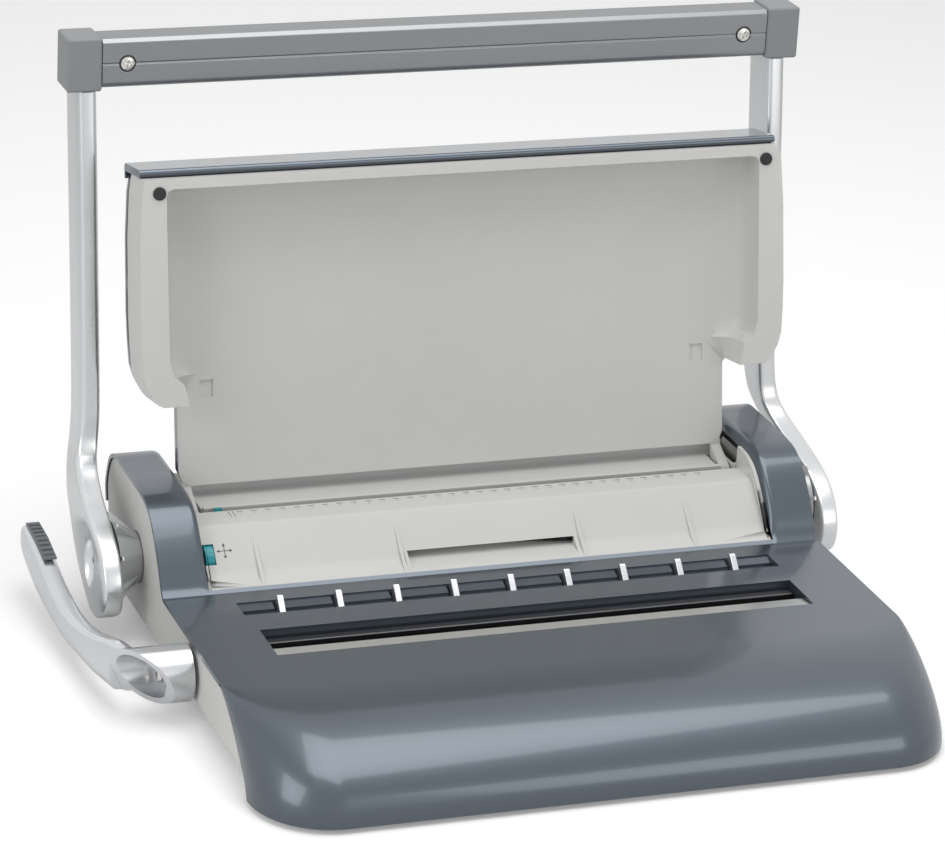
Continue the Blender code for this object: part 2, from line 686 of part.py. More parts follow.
def fascia():
    """The beige panel in front of the throat, with ribs, thumb notch and raised ends."""
    bm = bmesh.new()
    slab(bm, walled(fascia_line(), -FASCIA_WALL), -FASCIA_HALF, FASCIA_HALF)
    made = piece("fascia", bm, BEIGE)

    extra = bmesh.new()
    lowered = [p for p in offset_line(shoulder_line(), -CHEEK_DROP) if FASCIA_FOOT_Y < p[0] < THROAT_Y + OVERRUN]
    floor = [(y, z - FASCIA_WALL / 2) for y, z in fascia_line()[::-1][1:]]
    back_y = THROAT_Y + THROAT_GAP / 2 - GAP * 2
    lowered = [p for p in lowered if p[0] < back_y]
    ends = [(back_y, lowered[0][1])] + lowered + floor + [(back_y, THROAT_Z - FASCIA_WALL / 2)]
    for side in (-1, 1):
        near = side * (FASCIA_HALF + CHEEK_DROP / 3)
        slab(extra, ends, near, near - side * CHEEK_WALL)
    cove = fascia_line()[3:]
    crest = offset_line(cove, RIB_HEIGHT)
    rib = [fascia_line()[2], crest[0], crest[1], cove[-1], (cove[-1][0], cove[-1][1] - FASCIA_WALL / 2),
           (cove[0][0], cove[0][1] - FASCIA_WALL), (FASCIA_BEVEL_Y, THROAT_Z - FASCIA_WALL)]
    for share in RIB_PLACES_SHARE:
        x = share * HALF_WIDTH
        slab(extra, rib, x - RIB_WIDTH / 2, x + RIB_WIDTH / 2)
    lip = face_point(NOTCH_TOP)
    back = lip + NOTCH_DEPTH / 2
    foot_y, foot_z = FASCIA_FOOT_Y, FASCIA_FOOT_Z
    pocket = [(face_point(NOTCH_TOP + NOTCH_WALL) + GAP * 2, NOTCH_TOP + NOTCH_WALL),
              (back + NOTCH_WALL, NOTCH_TOP + NOTCH_WALL), (back + NOTCH_WALL, FASCIA_COVE_Z - NOTCH_WALL * 2),
              (foot_y + NOTCH_WALL * 2, foot_z - FASCIA_WALL / 2), (foot_y + NOTCH_WALL, foot_z)]
    slab(extra, pocket, -NOTCH_HALF - NOTCH_WALL, NOTCH_HALF + NOTCH_WALL)
    combine(made, extra, "UNION", self_overlap=True)

    cuts = bmesh.new()
    low = foot_z + NOTCH_WALL * 0.7
    slab(cuts, [(foot_y - OVERRUN, NOTCH_TOP), (back, NOTCH_TOP), (back, FASCIA_COVE_Z - NOTCH_WALL),
                (foot_y + NOTCH_WALL * 1.5, low), (foot_y - OVERRUN, low)], -NOTCH_HALF, NOTCH_HALF)
    wheel_y, wheel_z = wheel_centre()
    drum(cuts, (-WHEEL_LEFT - GAP * 2, wheel_y, wheel_z), (-WHEEL_RIGHT + GAP * 2, wheel_y, wheel_z),
         WHEEL_RADIUS + GAP * 2, sides=32)
    combine(made, cuts)
    return made


def wheel_centre():
    """The thumb wheel's axis behind the sloping face."""
    run_y = FASCIA_BEVEL_Y - FASCIA_COVE_Y
    run_z = THROAT_Z - BEVEL_DROP - FASCIA_COVE_Z
    length = math.hypot(run_y, run_z)
    depth = WHEEL_RADIUS - WHEEL_PROUD
    return (face_point(WHEEL_FACE_Z) + depth * run_z / length, WHEEL_FACE_Z - depth * run_y / length)


def rear_cover():
    """The rear deck and back wall, with the chip drawer's window."""
    lip_y = THROAT_Y + THROAT_GAP / 2
    deck = THROAT_Z - FASCIA_WALL
    line = [(lip_y, THROAT_Z), (lip_y + BEVEL_RUN * 1.5, THROAT_Z), (lip_y + BEVEL_RUN * 2, deck)]
    line += arc((REAR_REACH - OVERRUN - SHELL_WALL, deck - OVERRUN), OVERRUN, OVERRUN, 90, 0, 5)
    line += [(REAR_REACH - SHELL_WALL, FOOT_HEIGHT + TRAY_FLOOR + GAP * 2)]
    bm = bmesh.new()
    half = SHOULDER_INNER - GAP * 2
    slab(bm, walled(line, SHELL_WALL), -half, half)
    made = piece("rear_cover", bm, BEIGE)
    cuts = bmesh.new()
    block(cuts, (-DRAWER_HALF - GAP * 2, REAR_REACH - OVERRUN, 0),
          (DRAWER_HALF + GAP * 2, REAR_REACH + OVERRUN, DRAWER_TOP + GAP * 3))
    for side in (-1, 1):
        low, high = sorted((side * (LUG_INNER - GAP * 6), side * (LUG_OUTER + GAP * 4)))
        block(cuts, (low, THROAT_Y, LID_PIVOT_Z - OVERRUN),
              (high, LID_PIVOT_Y + LID_NECK_BOTTOM, THROAT_Z + OVERRUN))
        drum(cuts, (side * LUG_OUTER, LID_PIVOT_Y, LID_PIVOT_Z), (side * DIE_HALF, LID_PIVOT_Y, LID_PIVOT_Z),
             LID_PIN_RADIUS + GAP * 2)
    combine(made, cuts, self_overlap=True)
    return made


def tilted(bm):
    """Turn a shape drawn in the paper's frame into the machine's frame."""
    bmesh.ops.transform(bm, matrix=TILT_MATRIX, verts=bm.verts[:])
    return bm


def pin_places():
    """The pins' places across the throat."""
    return [PUNCH_PITCH * (index - (PIN_COUNT - 1) / 2) for index in range(PIN_COUNT)]


PIN_HEIGHT = -(PAPER_DEPTH - PIN_EDGE_MARGIN)


def punch_frame():
    """The die block: two plates with the paper slot between them and a hole for each pin."""
    bm = bmesh.new()
    wall = DIE_WALL + PAPER_SLOT / 2
    block(bm, (-DIE_HALF, -wall, -DIE_BOTTOM), (DIE_HALF, wall, -DIE_TOP))
    made = piece("punch_frame", tilted(bm), STEEL)
    slot = bmesh.new()
    half = GUIDE_LEFT + GUIDE_TRAVEL + GAP * 2
    block(slot, (-half, -PAPER_SLOT / 2, -PAPER_DEPTH), (half, PAPER_SLOT / 2, OVERRUN))
    combine(made, tilted(slot))
    holes = bmesh.new()
    size = PIN_SIZE / 2 + PIN_CLEARANCE
    for x in pin_places():
        block(holes, (x - size, -wall - OVERRUN, PIN_HEIGHT - size), (x + size, wall + OVERRUN, PIN_HEIGHT + size))
    combine(made, tilted(holes))
    return made


def shaft_in_tilt():
    """The handle shaft's axis in the paper's frame."""
    return TILT_MATRIX.inverted() @ Vector((0, PIVOT_Y, PIVOT_Z))


def rack_outline():
    """A rack above the pinion, teeth down, in the paper's frame."""
    centre = shaft_in_tilt()
    pitch_line = centre.z + GEAR_MODULE * GEAR_TEETH / 2
    pitch = math.pi * GEAR_MODULE
    rear = DIE_WALL + PAPER_SLOT / 2 + CARRIER_GAP + CARRIER_THICK
    front = rear - RACK_REACH
    root = pitch_line + RACK_ROOT
    tip = pitch_line - GEAR_MODULE * 0.9
    root_half = pitch * 0.25 + RACK_ROOT * math.tan(math.radians(20)) - GEAR_BACKLASH
    tip_half = pitch * 0.25 - GEAR_MODULE * 0.9 * math.tan(math.radians(20)) - GEAR_BACKLASH
    line = [(rear, -RACK_TOP), (rear, root)]
    count = int((rear - front) / pitch / 2) + 1
    for index in range(count, -count - 1, -1):
        middle = centre.y + pitch * index
        if front + pitch / 2 < middle < rear - pitch / 2:
            line += [(middle + root_half, root), (middle + tip_half, tip),
                     (middle - tip_half, tip), (middle - root_half, root)]
    return line + [(front, root), (front, -RACK_TOP)]


def punch_comb():
    """The pins on their carrier, with a rack at each end."""
    rear_face = DIE_WALL + PAPER_SLOT / 2 + CARRIER_GAP
    back = rear_face + CARRIER_THICK
    block_in = LUG_INNER
    bm = bmesh.new()
    block(bm, (-block_in - CARRIER_BLOCK, rear_face, -CARRIER_LOW), (block_in + CARRIER_BLOCK, back, -CARRIER_HIGH))
    made = piece("punch_comb", tilted(bm), STEEL, PUNCH)
    extra = bmesh.new()
    gear_in, gear_out = gear_span()
    bridge_low = shaft_in_tilt().z + GEAR_MODULE * GEAR_TEETH / 2 + RACK_ROOT + GAP
    for side in (-1, 1):
        low, high = sorted((side * block_in, side * (block_in + CARRIER_BLOCK)))
        block(extra, (low, rear_face, -CARRIER_LOW + OVERRUN / 2), (high, back, -RACK_TOP))
        low, high = sorted((side * (block_in + CARRIER_BLOCK / 2), side * (gear_in + GEAR_WIDTH / 2)))
        block(extra, (low, rear_face + GAP, bridge_low), (high, back - GAP, -RACK_TOP - GAP))
        slab(extra, rack_outline(), side * gear_in, side * gear_out)
    half = PIN_SIZE / 2
    tip = PAPER_SLOT / 2 + GEAR_MODULE
    for x in pin_places():
        block(extra, (x - half, tip, PIN_HEIGHT - half), (x + half, rear_face + CARRIER_THICK / 2, PIN_HEIGHT + half))
    combine(made, tilted(extra), "UNION", self_overlap=True)
    return made


def gear_span():
    """Inner and outer faces of a pinion, outside its side frame."""
    inner = DIE_HALF + GAP + FRAME_PLATE + GEAR_WIDTH * 0.4
    return inner, inner + GEAR_WIDTH


def pinion_outline():
    """The pinion's outline with a gap facing the rack, as (y, z) about its axis."""
    pitch_radius = GEAR_MODULE * GEAR_TEETH / 2
    root = pitch_radius - GEAR_MODULE * 1.2
    tip = pitch_radius + GEAR_MODULE * 0.9
    made = []
    shares = ((root, -0.38), (pitch_radius, -0.235), (tip, -0.12), (tip, 0.12), (pitch_radius, 0.235), (root, 0.38))
    for tooth in range(GEAR_TEETH):
        for radius, share in shares:
            angle = 2 * math.pi * (tooth + 0.5 + share) / GEAR_TEETH + math.pi / 2 - PAPER_TILT
            made.append((PIVOT_Y + radius * math.cos(angle), PIVOT_Z + radius * math.sin(angle)))
    return made


def side_frame(side):
    """A steel plate inside each shoulder, which carries the shaft, the die and the paper rest's pin."""
    name = "side_frame_left" if side < 0 else "side_frame_right"
    inner = DIE_HALF + GAP
    low = FOOT_HEIGHT + TRAY_FLOOR + GAP
    rise = SHOULDER_TOP - SHELL_WALL * 2 - low
    depth = REAR_REACH - OVERRUN - FASCIA_COVE_Y
    shares = [(0.0, 0.0), (0.93, 0.0), (0.93, 0.55), (0.72, 0.88), (0.33, 0.88), (0.12, 0.62), (0.0, 0.4)]
    bm = bmesh.new()
    slab(bm, shares_to_points(shares, (FASCIA_COVE_Y, low), (depth, rise)), side * inner, side * (inner + FRAME_PLATE))
    made = piece(name, bm, STEEL)
    cuts = bmesh.new()
    span = (side * (inner - OVERRUN), side * (inner + FRAME_PLATE + OVERRUN / 2))
    drum(cuts, (span[0], PIVOT_Y, PIVOT_Z), (span[1], PIVOT_Y, PIVOT_Z), SHAFT_RADIUS + GAP)
    drum(cuts, (span[0], LID_PIVOT_Y, LID_PIVOT_Z), (span[1], LID_PIVOT_Y, LID_PIVOT_Z), LID_PIN_RADIUS + GAP)
    combine(made, cuts)
    window = bmesh.new()
    rear_face = DIE_WALL + PAPER_SLOT / 2 + CARRIER_GAP
    low_x, high_x = sorted(span)
    block(window, (low_x, rear_face - pin_stroke() - GAP * 3, -CARRIER_HIGH + GAP * 2),
          (high_x, rear_face + CARRIER_THICK + GAP * 3, -RACK_TOP + GAP * 2))
    combine(made, tilted(window))
    return made


HANDLE_SWING = math.radians(90)


def pin_stroke():
    """How far the pinion drives the pins over the handle's swing."""
    return GEAR_MODULE * GEAR_TEETH / 2 * HANDLE_SWING


def drive_shaft(side):
    """A stub shaft with its pinion, turned by the handle's hub."""
    name = "drive_shaft_left" if side < 0 else "drive_shaft_right"
    gear_in, gear_out = gear_span()
    bm = bmesh.new()
    slab(bm, pinion_outline(), side * gear_in, side * gear_out)
    made = piece(name, bm, STEEL, HANDLE)
    rod = bmesh.new()
    drum(rod, (side * (DIE_HALF + GAP * 2), PIVOT_Y, PIVOT_Z), (side * (HUB_FACE + OVERRUN), PIVOT_Y, PIVOT_Z),
         SHAFT_RADIUS)
    combine(made, rod, "UNION")
    return made


def hub(side):
    """The ribbed cone between the side cover and the handle's paddle."""
    name = "hub_left" if side < 0 else "hub_right"
    far = PADDLE_INNER - GAP
    bm = bmesh.new()
    drum(bm, (side * HUB_FACE, PIVOT_Y, PIVOT_Z), (side * far, PIVOT_Y, PIVOT_Z),
         HUB_SMALL_RADIUS, HUB_LARGE_RADIUS, sides=HUB_SIDES)
    made = piece(name, bm, SILVER_PLASTIC, HANDLE)
    start = HUB_FACE + (far - HUB_FACE) * FIN_START_SHARE
    shape = [(start, FIN_ROOT), (start, HUB_SMALL_RADIUS + FIN_RISE), (far - FIN_EDGE, FIN_REACH),
             (far, FIN_REACH), (far, FIN_ROOT)]
    fins = bmesh.new()
    for index in range(HUB_FINS):
        ring = [fins.verts.new((side * x, -FIN_THICK / 2, r)) for x, r in shape]
        grown = bmesh.ops.extrude_face_region(fins, geom=[fins.faces.new(ring)])["geom"]
        moved = [item for item in grown if isinstance(item, bmesh.types.BMVert)]
        bmesh.ops.translate(fins, vec=(0, FIN_THICK, 0), verts=moved)
        turn = Matrix.Rotation(2 * math.pi * (index + 0.5) / HUB_FINS, 4, "X")
        place = Matrix.Translation((0, PIVOT_Y, PIVOT_Z)) @ turn
        bmesh.ops.transform(fins, matrix=place, verts=ring + moved)
    combine(made, fins, "UNION", self_overlap=True)
    bore = bmesh.new()
    drum(bore, (side * (HUB_FACE - OVERRUN), PIVOT_Y, PIVOT_Z),
         (side * (HUB_FACE + OVERRUN + GAP), PIVOT_Y, PIVOT_Z), SHAFT_RADIUS + GAP)
    drum(bore, (side * HUB_FACE, PIVOT_Y, PIVOT_Z), (side * (far + OVERRUN), PIVOT_Y, PIVOT_Z),
         SCREW_SHANK_RADIUS + GAP, sides=SMALL_SIDES)
    combine(made, bore, self_overlap=True)
    return made


# The arm's level sections: height, front, rear (shares of the arm's box), inner and outer reach (0 arm, 1 paddle)
PADDLE_SHARES = [(1.0, 0.79, 1.0, 0.0), (0.975, 0.775, 1.0, 0.0), (0.65, 0.705, 0.915, 0.0),
                      (0.34, 0.645, 0.837, 0.0), (0.27, 0.625, 0.80, 0.25), (0.235, 0.56, 0.76, 0.55),
                      (0.205, 0.40, 0.70, 0.85), (0.175, 0.21, 0.655, 1.0), (0.14, 0.085, 0.61, 1.0),
                      (0.10, 0.03, 0.555, 1.0), (0.06, 0.02, 0.475, 1.0), (0.025, 0.05, 0.37, 1.0),
                      (0.0, 0.12, 0.27, 1.0)]
ARM_ROUND_SHARE = 0.55
ARM_FOOT = 0.018
ARM_FRONT_Y = 0.076
ARM_REAR_Y = 0.219


# The hollows on an arm's inner face: foot and head of each, and the room before and behind at foot and head
POCKET_SHARES = [(0.36, 0.58), (0.60, 0.80)]
POCKET_FRONT_SHARES = (0.645, 0.785)
POCKET_REAR_SHARES = (0.837, 0.987)
POCKET_FOOT_SHARE = 0.34


def arm(side):
    """One arm of the handle: a channel that widens into a paddle at the pivot."""
    name = "arm_left" if side < 0 else "arm_right"
    top = BAR_LOW - CAP_MARGIN - GAP
    reach = ARM_REAR_Y - ARM_FRONT_Y
    sections = []
    for height, front, rear, out in PADDLE_SHARES:
        inner = ARM_INNER + (PADDLE_INNER - ARM_INNER) * out
        outer = ARM_OUTER + (PADDLE_OUTER - ARM_OUTER) * out
        z = ARM_FOOT + (top - ARM_FOOT) * height
        low, high = sorted((side * inner, side * outer))
        sections.append(rounded_ring(low, high, ARM_FRONT_Y + reach * front, ARM_FRONT_Y + reach * rear, z,
                                     ARM_ROUND_SHARE))
    bm = bmesh.new()
    loft(bm, sections)
    made = piece(name, bm, SILVER, HANDLE)
    cuts = bmesh.new()
    low, high = sorted((side * (ARM_INNER - OVERRUN), side * (ARM_OUTER - ARM_WALL)))
    for span in POCKET_SHARES:
        rings = []
        for share in span:
            z = ARM_FOOT + (top - ARM_FOOT) * share
            lean = (share - POCKET_FOOT_SHARE) / (1 - POCKET_FOOT_SHARE)
            front = POCKET_FRONT_SHARES[0] + (POCKET_FRONT_SHARES[1] - POCKET_FRONT_SHARES[0]) * lean
            rear = POCKET_REAR_SHARES[0] + (POCKET_REAR_SHARES[1] - POCKET_REAR_SHARES[0]) * lean
            y0 = ARM_FRONT_Y + reach * front + ARM_WALL
            y1 = ARM_FRONT_Y + reach * rear - ARM_WALL
            rings.append([(low, y0, z), (high, y0, z), (high, y1, z), (low, y1, z)])
        loft(cuts, rings)
    drum(cuts, (side * (PADDLE_INNER - OVERRUN), PIVOT_Y, PIVOT_Z),
         (side * (PADDLE_OUTER + OVERRUN), PIVOT_Y, PIVOT_Z), SCREW_SHANK_RADIUS + GAP, sides=SMALL_SIDES)
    combine(made, cuts)
    dish = bmesh.new()
    ball = bmesh.ops.create_uvsphere(dish, u_segments=20, v_segments=10, radius=1.0)["verts"]
    bmesh.ops.scale(dish, vec=(DISH_DEPTH * 2, DISH_RADIUS_Y, DISH_RADIUS_Z), verts=ball)
    face = PADDLE_OUTER + DISH_DEPTH * DISH_OUT_SHARE
    bmesh.ops.translate(dish, vec=(side * face, PIVOT_Y, PIVOT_Z), verts=ball)
    combine(made, dish)
    return made


def screw(name, start, direction, length, paint, carrier):
    """A pan-head screw: head at the start, shank along the direction."""
    start, direction = Vector(start), Vector(direction)
    bm = bmesh.new()
    drum(bm, start, start + direction * SCREW_HEAD_HEIGHT, SCREW_HEAD_RADIUS * 0.8, SCREW_HEAD_RADIUS, sides=16)
    made = piece(name, bm, paint, carrier)
    shank = bmesh.new()
    drum(shank, start + direction * SCREW_HEAD_HEIGHT / 2, start + direction * length, SCREW_SHANK_RADIUS, sides=12)
    combine(made, shank, "UNION")
    return made


def grip_bar():
    """The extruded bar across the handle."""
    bm = bmesh.new()
    y0, y1 = BAR_FRONT_Y, BAR_FRONT_Y + BAR_DEPTH
    z0, z1 = BAR_LOW, BAR_LOW + BAR_HEIGHT
    radius = BAR_DEPTH * 0.18
    chamfer = BAR_DEPTH * 0.09
    line = [(y0, z1 - chamfer), (y0 + chamfer, z1)] + arc((y1 - radius, z1 - radius), radius, radius, 90, 0, 4)
    line += arc((y1 - radius, z0 + radius), radius, radius, 0, -90, 4)
    line += arc((y0 + radius, z0 + radius), radius, radius, -90, -180, 4)
    middle = (z0 + z1) / 2
    line += [(y0, middle - BAR_GROOVE), (y0 + BAR_GROOVE, middle), (y0, middle + BAR_GROOVE)]
    slab(bm, line, -BAR_HALF, BAR_HALF)
    made = piece("grip_bar", bm, ANODISED, HANDLE)
    cuts = bmesh.new()
    block(cuts, (-BAR_HALF - OVERRUN, y0 + BAR_WALL, z0 + BAR_WALL), (BAR_HALF + OVERRUN, y1 - BAR_WALL, z1 - BAR_WALL))
    for side in (-1, 1):
        drum(cuts, (side * SCREW_X, y0 - OVERRUN, middle), (side * SCREW_X, y0 + BAR_WALL * 2, middle),
             SCREW_SHANK_RADIUS + GAP, sides=16)
        drum(cuts, (side * SCREW_X, y0 - GAP * 2, middle), (side * SCREW_X, y0 + BAR_WALL * 0.7, middle),
             SCREW_HEAD_RADIUS + GAP * 3, SCREW_HEAD_RADIUS + GAP, sides=20)
    combine(made, cuts, self_overlap=True)
    return made


def end_cap(side):
    """The block at each end of the bar, with a tenon in the bar and a seat for the arm."""
    name = "end_cap_left" if side < 0 else "end_cap_right"
    y0, y1 = BAR_FRONT_Y - CAP_MARGIN, BAR_FRONT_Y + BAR_DEPTH + CAP_MARGIN
    z0, z1 = BAR_LOW - CAP_MARGIN, BAR_LOW + BAR_HEIGHT + CAP_MARGIN
    low, high = sorted((side * (BAR_HALF + GAP), side * CAP_OUTER))
    bm = bmesh.new()
    block(bm, (low, y0, z0), (high, y1, z1))
    made = piece(name, bm, GREY_CAP, HANDLE)
    soften(made, BAR_WALL, 2)
    tenon = bmesh.new()
    clear = BAR_WALL + GAP
    low, high = sorted((side * (BAR_HALF - CAP_TENON), side * (BAR_HALF + BAR_WALL * 2)))
    block(tenon, (low, BAR_FRONT_Y + clear, BAR_LOW + clear),
          (high, BAR_FRONT_Y + BAR_DEPTH - clear, BAR_LOW + BAR_HEIGHT - clear))
    combine(made, tenon, "UNION")
    hole = bmesh.new()
    middle = BAR_LOW + BAR_HEIGHT / 2
    drum(hole, (side * SCREW_X, y0 - OVERRUN, middle),
         (side * SCREW_X, BAR_FRONT_Y + BAR_DEPTH / 2 + OVERRUN, middle), SCREW_SHANK_RADIUS + GAP, sides=SMALL_SIDES)
    combine(made, hole)
    return made


def handle_screws():
    """The screws that hold the bar to its caps and the arms to their hubs."""
    for side, word in ((-1, "left"), (1, "right")):
        front = BAR_FRONT_Y + BAR_WALL * 0.7 - SCREW_HEAD_HEIGHT - GAP
        screw(f"bar_screw_{word}", (side * SCREW_X, front, BAR_LOW + BAR_HEIGHT / 2), (0, 1, 0),
              BAR_DEPTH * 0.6, STEEL, HANDLE)
        outer = PADDLE_OUTER - DISH_DEPTH * DISH_FLOOR_SHARE + SCREW_HEAD_HEIGHT + GAP * 3
        screw(f"hub_screw_{word}", (side * outer, PIVOT_Y, PIVOT_Z), (-side, 0, 0),
              outer - HUB_FACE - OVERRUN - GAP * 4, STEEL, HANDLE)


# The closer lever's sections: run, low and high (shares of its reach and hub), inner and outer reach in shares
LEVER_SHARES = [(0.02, 0.06, 0.97, 0.42, 0.78), (0.12, 0.05, 0.88, 0.48, 0.90), (0.22, 0.02, 0.72, 0.56, 1.0),
                        (0.34, 0.0, 0.56, 0.64, 1.06), (0.48, -0.02, 0.50, 0.70, 1.12), (0.62, 0.02, 0.62, 0.74, 1.16),
                        (0.76, 0.10, 0.82, 0.75, 1.18), (0.88, 0.25, 0.93, 0.75, 1.18), (0.97, 0.42, 0.95, 0.77, 1.16),
                        (1.0, 0.55, 0.88, 0.82, 1.10)]
LEVER_SPREAD = 0.030
LEVER_BASE_X = 0.212


def closer_lever():
    """The banana-shaped lever with its cylindrical hub cut off aslant."""
    bm = bmesh.new()
    sections = []
    hub_low = CLOSER_Z - LEVER_HUB_RADIUS
    for run, low, high, inner, outer in LEVER_SHARES:
        y = CLOSER_Y + LEVER_REACH * run
        z0 = hub_low + 2 * LEVER_HUB_RADIUS * low
        z1 = hub_low + 2 * LEVER_HUB_RADIUS * high
        x0 = -LEVER_BASE_X - LEVER_SPREAD * outer
        x1 = -LEVER_BASE_X - LEVER_SPREAD * inner
        ring = rounded_ring(x0, x1, z0, z1, y, 0.6)
        sections.append([(x, depth, z) for x, z, depth in ring])
    loft(bm, sections)
    made = piece("closer_lever", bm, SILVER_PLASTIC, CLOSER)
    barrel = bmesh.new()
    drum(barrel, (-LEVER_HUB_INNER, CLOSER_Y, CLOSER_Z), (-LEVER_HUB_FACE - LEVER_HUB_RADIUS, CLOSER_Y, CLOSER_Z),
         LEVER_HUB_RADIUS, sides=32)
    combine(made, barrel, "UNION")
    slant = bmesh.new()
    size = LEVER_HUB_RADIUS * 4
    made_cube = bmesh.ops.create_cube(slant, size=size)["verts"]
    bmesh.ops.translate(slant, vec=(size / 2, 0, 0), verts=made_cube)
    turn = Vector((-1.0, -0.80, -0.42)).to_track_quat("X", "Z").to_matrix().to_4x4()
    place = Matrix.Translation((-LEVER_HUB_FACE, CLOSER_Y, CLOSER_Z)) @ turn
    bmesh.ops.transform(slant, matrix=place, verts=made_cube)
    bmesh.ops.bisect_plane(slant, geom=slant.verts[:] + slant.edges[:] + slant.faces[:], dist=0.00001,
                           plane_co=(0, CLOSER_Y + LEVER_HUB_RADIUS * 1.02, 0), plane_no=(0, 1, 0), clear_outer=True)
    bmesh.ops.holes_fill(slant, edges=[e for e in slant.edges if e.is_boundary])
    combine(made, slant)
    bores = bmesh.new()
    drum(bores, (-LEVER_BORE_FLOOR, CLOSER_Y, CLOSER_Z), (-LEVER_HUB_FACE - LEVER_HUB_RADIUS * 2, CLOSER_Y, CLOSER_Z),
         LEVER_BORE_RADIUS, sides=32)
    drum(bores, (-LEVER_HUB_INNER + OVERRUN, CLOSER_Y, CLOSER_Z), (-LEVER_BORE_FLOOR + LEVER_BORE_RADIUS / 4, CLOSER_Y, CLOSER_Z),
         CLOSER_SHAFT_RADIUS + GAP)
    drum(bores, (-LEVER_HUB_INNER, CLOSER_Y, CLOSER_Z), (-LEVER_BORE_FLOOR - OVERRUN / 2, CLOSER_Y, CLOSER_Z),
         SCREW_SHANK_RADIUS + GAP, sides=12)
    combine(made, bores, self_overlap=True)
    return made


def lever_pad():
    """The grip pad with eight raised bars at the lever's tip."""
    bm = bmesh.new()
    tip = LEVER_SHARES[-2]
    start_run, end_run = 0.74, 0.965
    hub_low = CLOSER_Z - LEVER_HUB_RADIUS
    x0 = -LEVER_BASE_X - LEVER_SPREAD * tip[4] + RIB_WIDTH
    x1 = -LEVER_BASE_X - LEVER_SPREAD * tip[3] - RIB_WIDTH / 2
    low_z = hub_low + 2 * LEVER_HUB_RADIUS * 0.83 + GAP
    high_z = hub_low + 2 * LEVER_HUB_RADIUS * 0.965 + GAP
    y0, y1 = CLOSER_Y + LEVER_REACH * start_run, CLOSER_Y + LEVER_REACH * end_run
    outline = [(y0, low_z), (y0, low_z + RIB_HEIGHT), ((y0 + y1) / 2, high_z + RIB_HEIGHT),
               (y1, high_z + RIB_HEIGHT), (y1, high_z), ((y0 + y1) / 2, high_z)]
    slab(bm, outline, x0, x1)
    made = piece("lever_pad", bm, DARK_GREY, CLOSER)
    return made


def closer_shaft():
    """The closer's shaft with two cams under the jaw."""
    bm = bmesh.new()
    drum(bm, (-LEVER_BORE_FLOOR + LEVER_BORE_RADIUS / 4 + GAP, CLOSER_Y, CLOSER_Z),
         (SLOT_HALF - GAP, CLOSER_Y, CLOSER_Z), CLOSER_SHAFT_RADIUS)
    made = piece("closer_shaft", bm, STEEL, CLOSER)
    cams = bmesh.new()
    for x in (-SLOT_HALF * 0.6, SLOT_HALF * 0.6):
        drum(cams, (x - POST_HALF, CLOSER_Y + CAM_LIFT, CLOSER_Z), (x + POST_HALF, CLOSER_Y + CAM_LIFT, CLOSER_Z),
             CLOSER_SHAFT_RADIUS)
    combine(made, cams, "UNION")
    return made


def closer_jaw():
    """The moving jaw behind the closing slot."""
    low = jaw_low()
    rear = CLOSER_Y + JAW_THICK / 2
    bm = bmesh.new()
    block(bm, (-SLOT_HALF + GAP * 2, rear - JAW_THICK, low), (SLOT_HALF - GAP * 2, rear, low + JAW_HEIGHT))
    return piece("closer_jaw", bm, STEEL, JAW)


def closer_anvil():
    """The bright fixed strip along the front of the slot."""
    bm = bmesh.new()
    front = -SLOT_DEPTH + GAP
    top = DESK_HEIGHT - SHELL_WALL / 2
    low = anvil_low()
    outline = [(front, low), (front, top), (front + ANVIL_DEPTH, top - SHELL_WALL / 2), (front + ANVIL_DEPTH, low)]
    slab(bm, outline, -SLOT_HALF + GAP, SLOT_HALF - GAP)
    return piece("closer_anvil", bm, STEEL)


def lid_frame(bm):
    """Turn a shape drawn as (x, back, up) from the lid's pivot into the machine's frame."""
    place = Matrix.Translation((0, LID_PIVOT_Y, LID_PIVOT_Z)) @ Matrix.Rotation(-PAPER_TILT, 4, "X")
    bmesh.ops.transform(bm, matrix=place, verts=bm.verts[:])
    return bm


def lid_outline(shrink=0.0):
    """The paper rest's front outline, right half first, as (x, up)."""
    ear = LID_EAR_BOTTOM + shrink
    half = LID_HALF - shrink
    neck = LID_NECK_HALF - shrink
    low = LID_NECK_BOTTOM + shrink
    top = LID_TOP - shrink
    corner = OVERRUN * 0.7
    right = [(neck - corner, low), (neck - corner * 0.3, low + corner * 0.3), (neck, low + corner),
             (neck, ear - corner * 0.4), (neck + corner * 0.4, ear), (half - corner * 1.5, ear),
             (half - corner * 0.7, ear + corner * 0.7), (half + LID_SWELL * 0.3, ear + corner * 2.6),
             (half + LID_SWELL, ear + corner * 7), (half + LID_SWELL * 0.6, top - corner * 5),
             (half - LID_SWELL * 0.4, top - corner * 1.4), (half - LID_SWELL * 1.5, top)]
    return right + [(-x, up) for x, up in right[::-1]]


def lid_slab(bm, outline, front, back):
    """Extrude an (x, up) outline from front to back."""
    ring = [bm.verts.new((x, front, up)) for x, up in outline]
    grown = bmesh.ops.extrude_face_region(bm, geom=[bm.faces.new(ring)])["geom"]
    moved = [item for item in grown if isinstance(item, bmesh.types.BMVert)]
    bmesh.ops.translate(bm, vec=(0, back - front, 0), verts=moved)


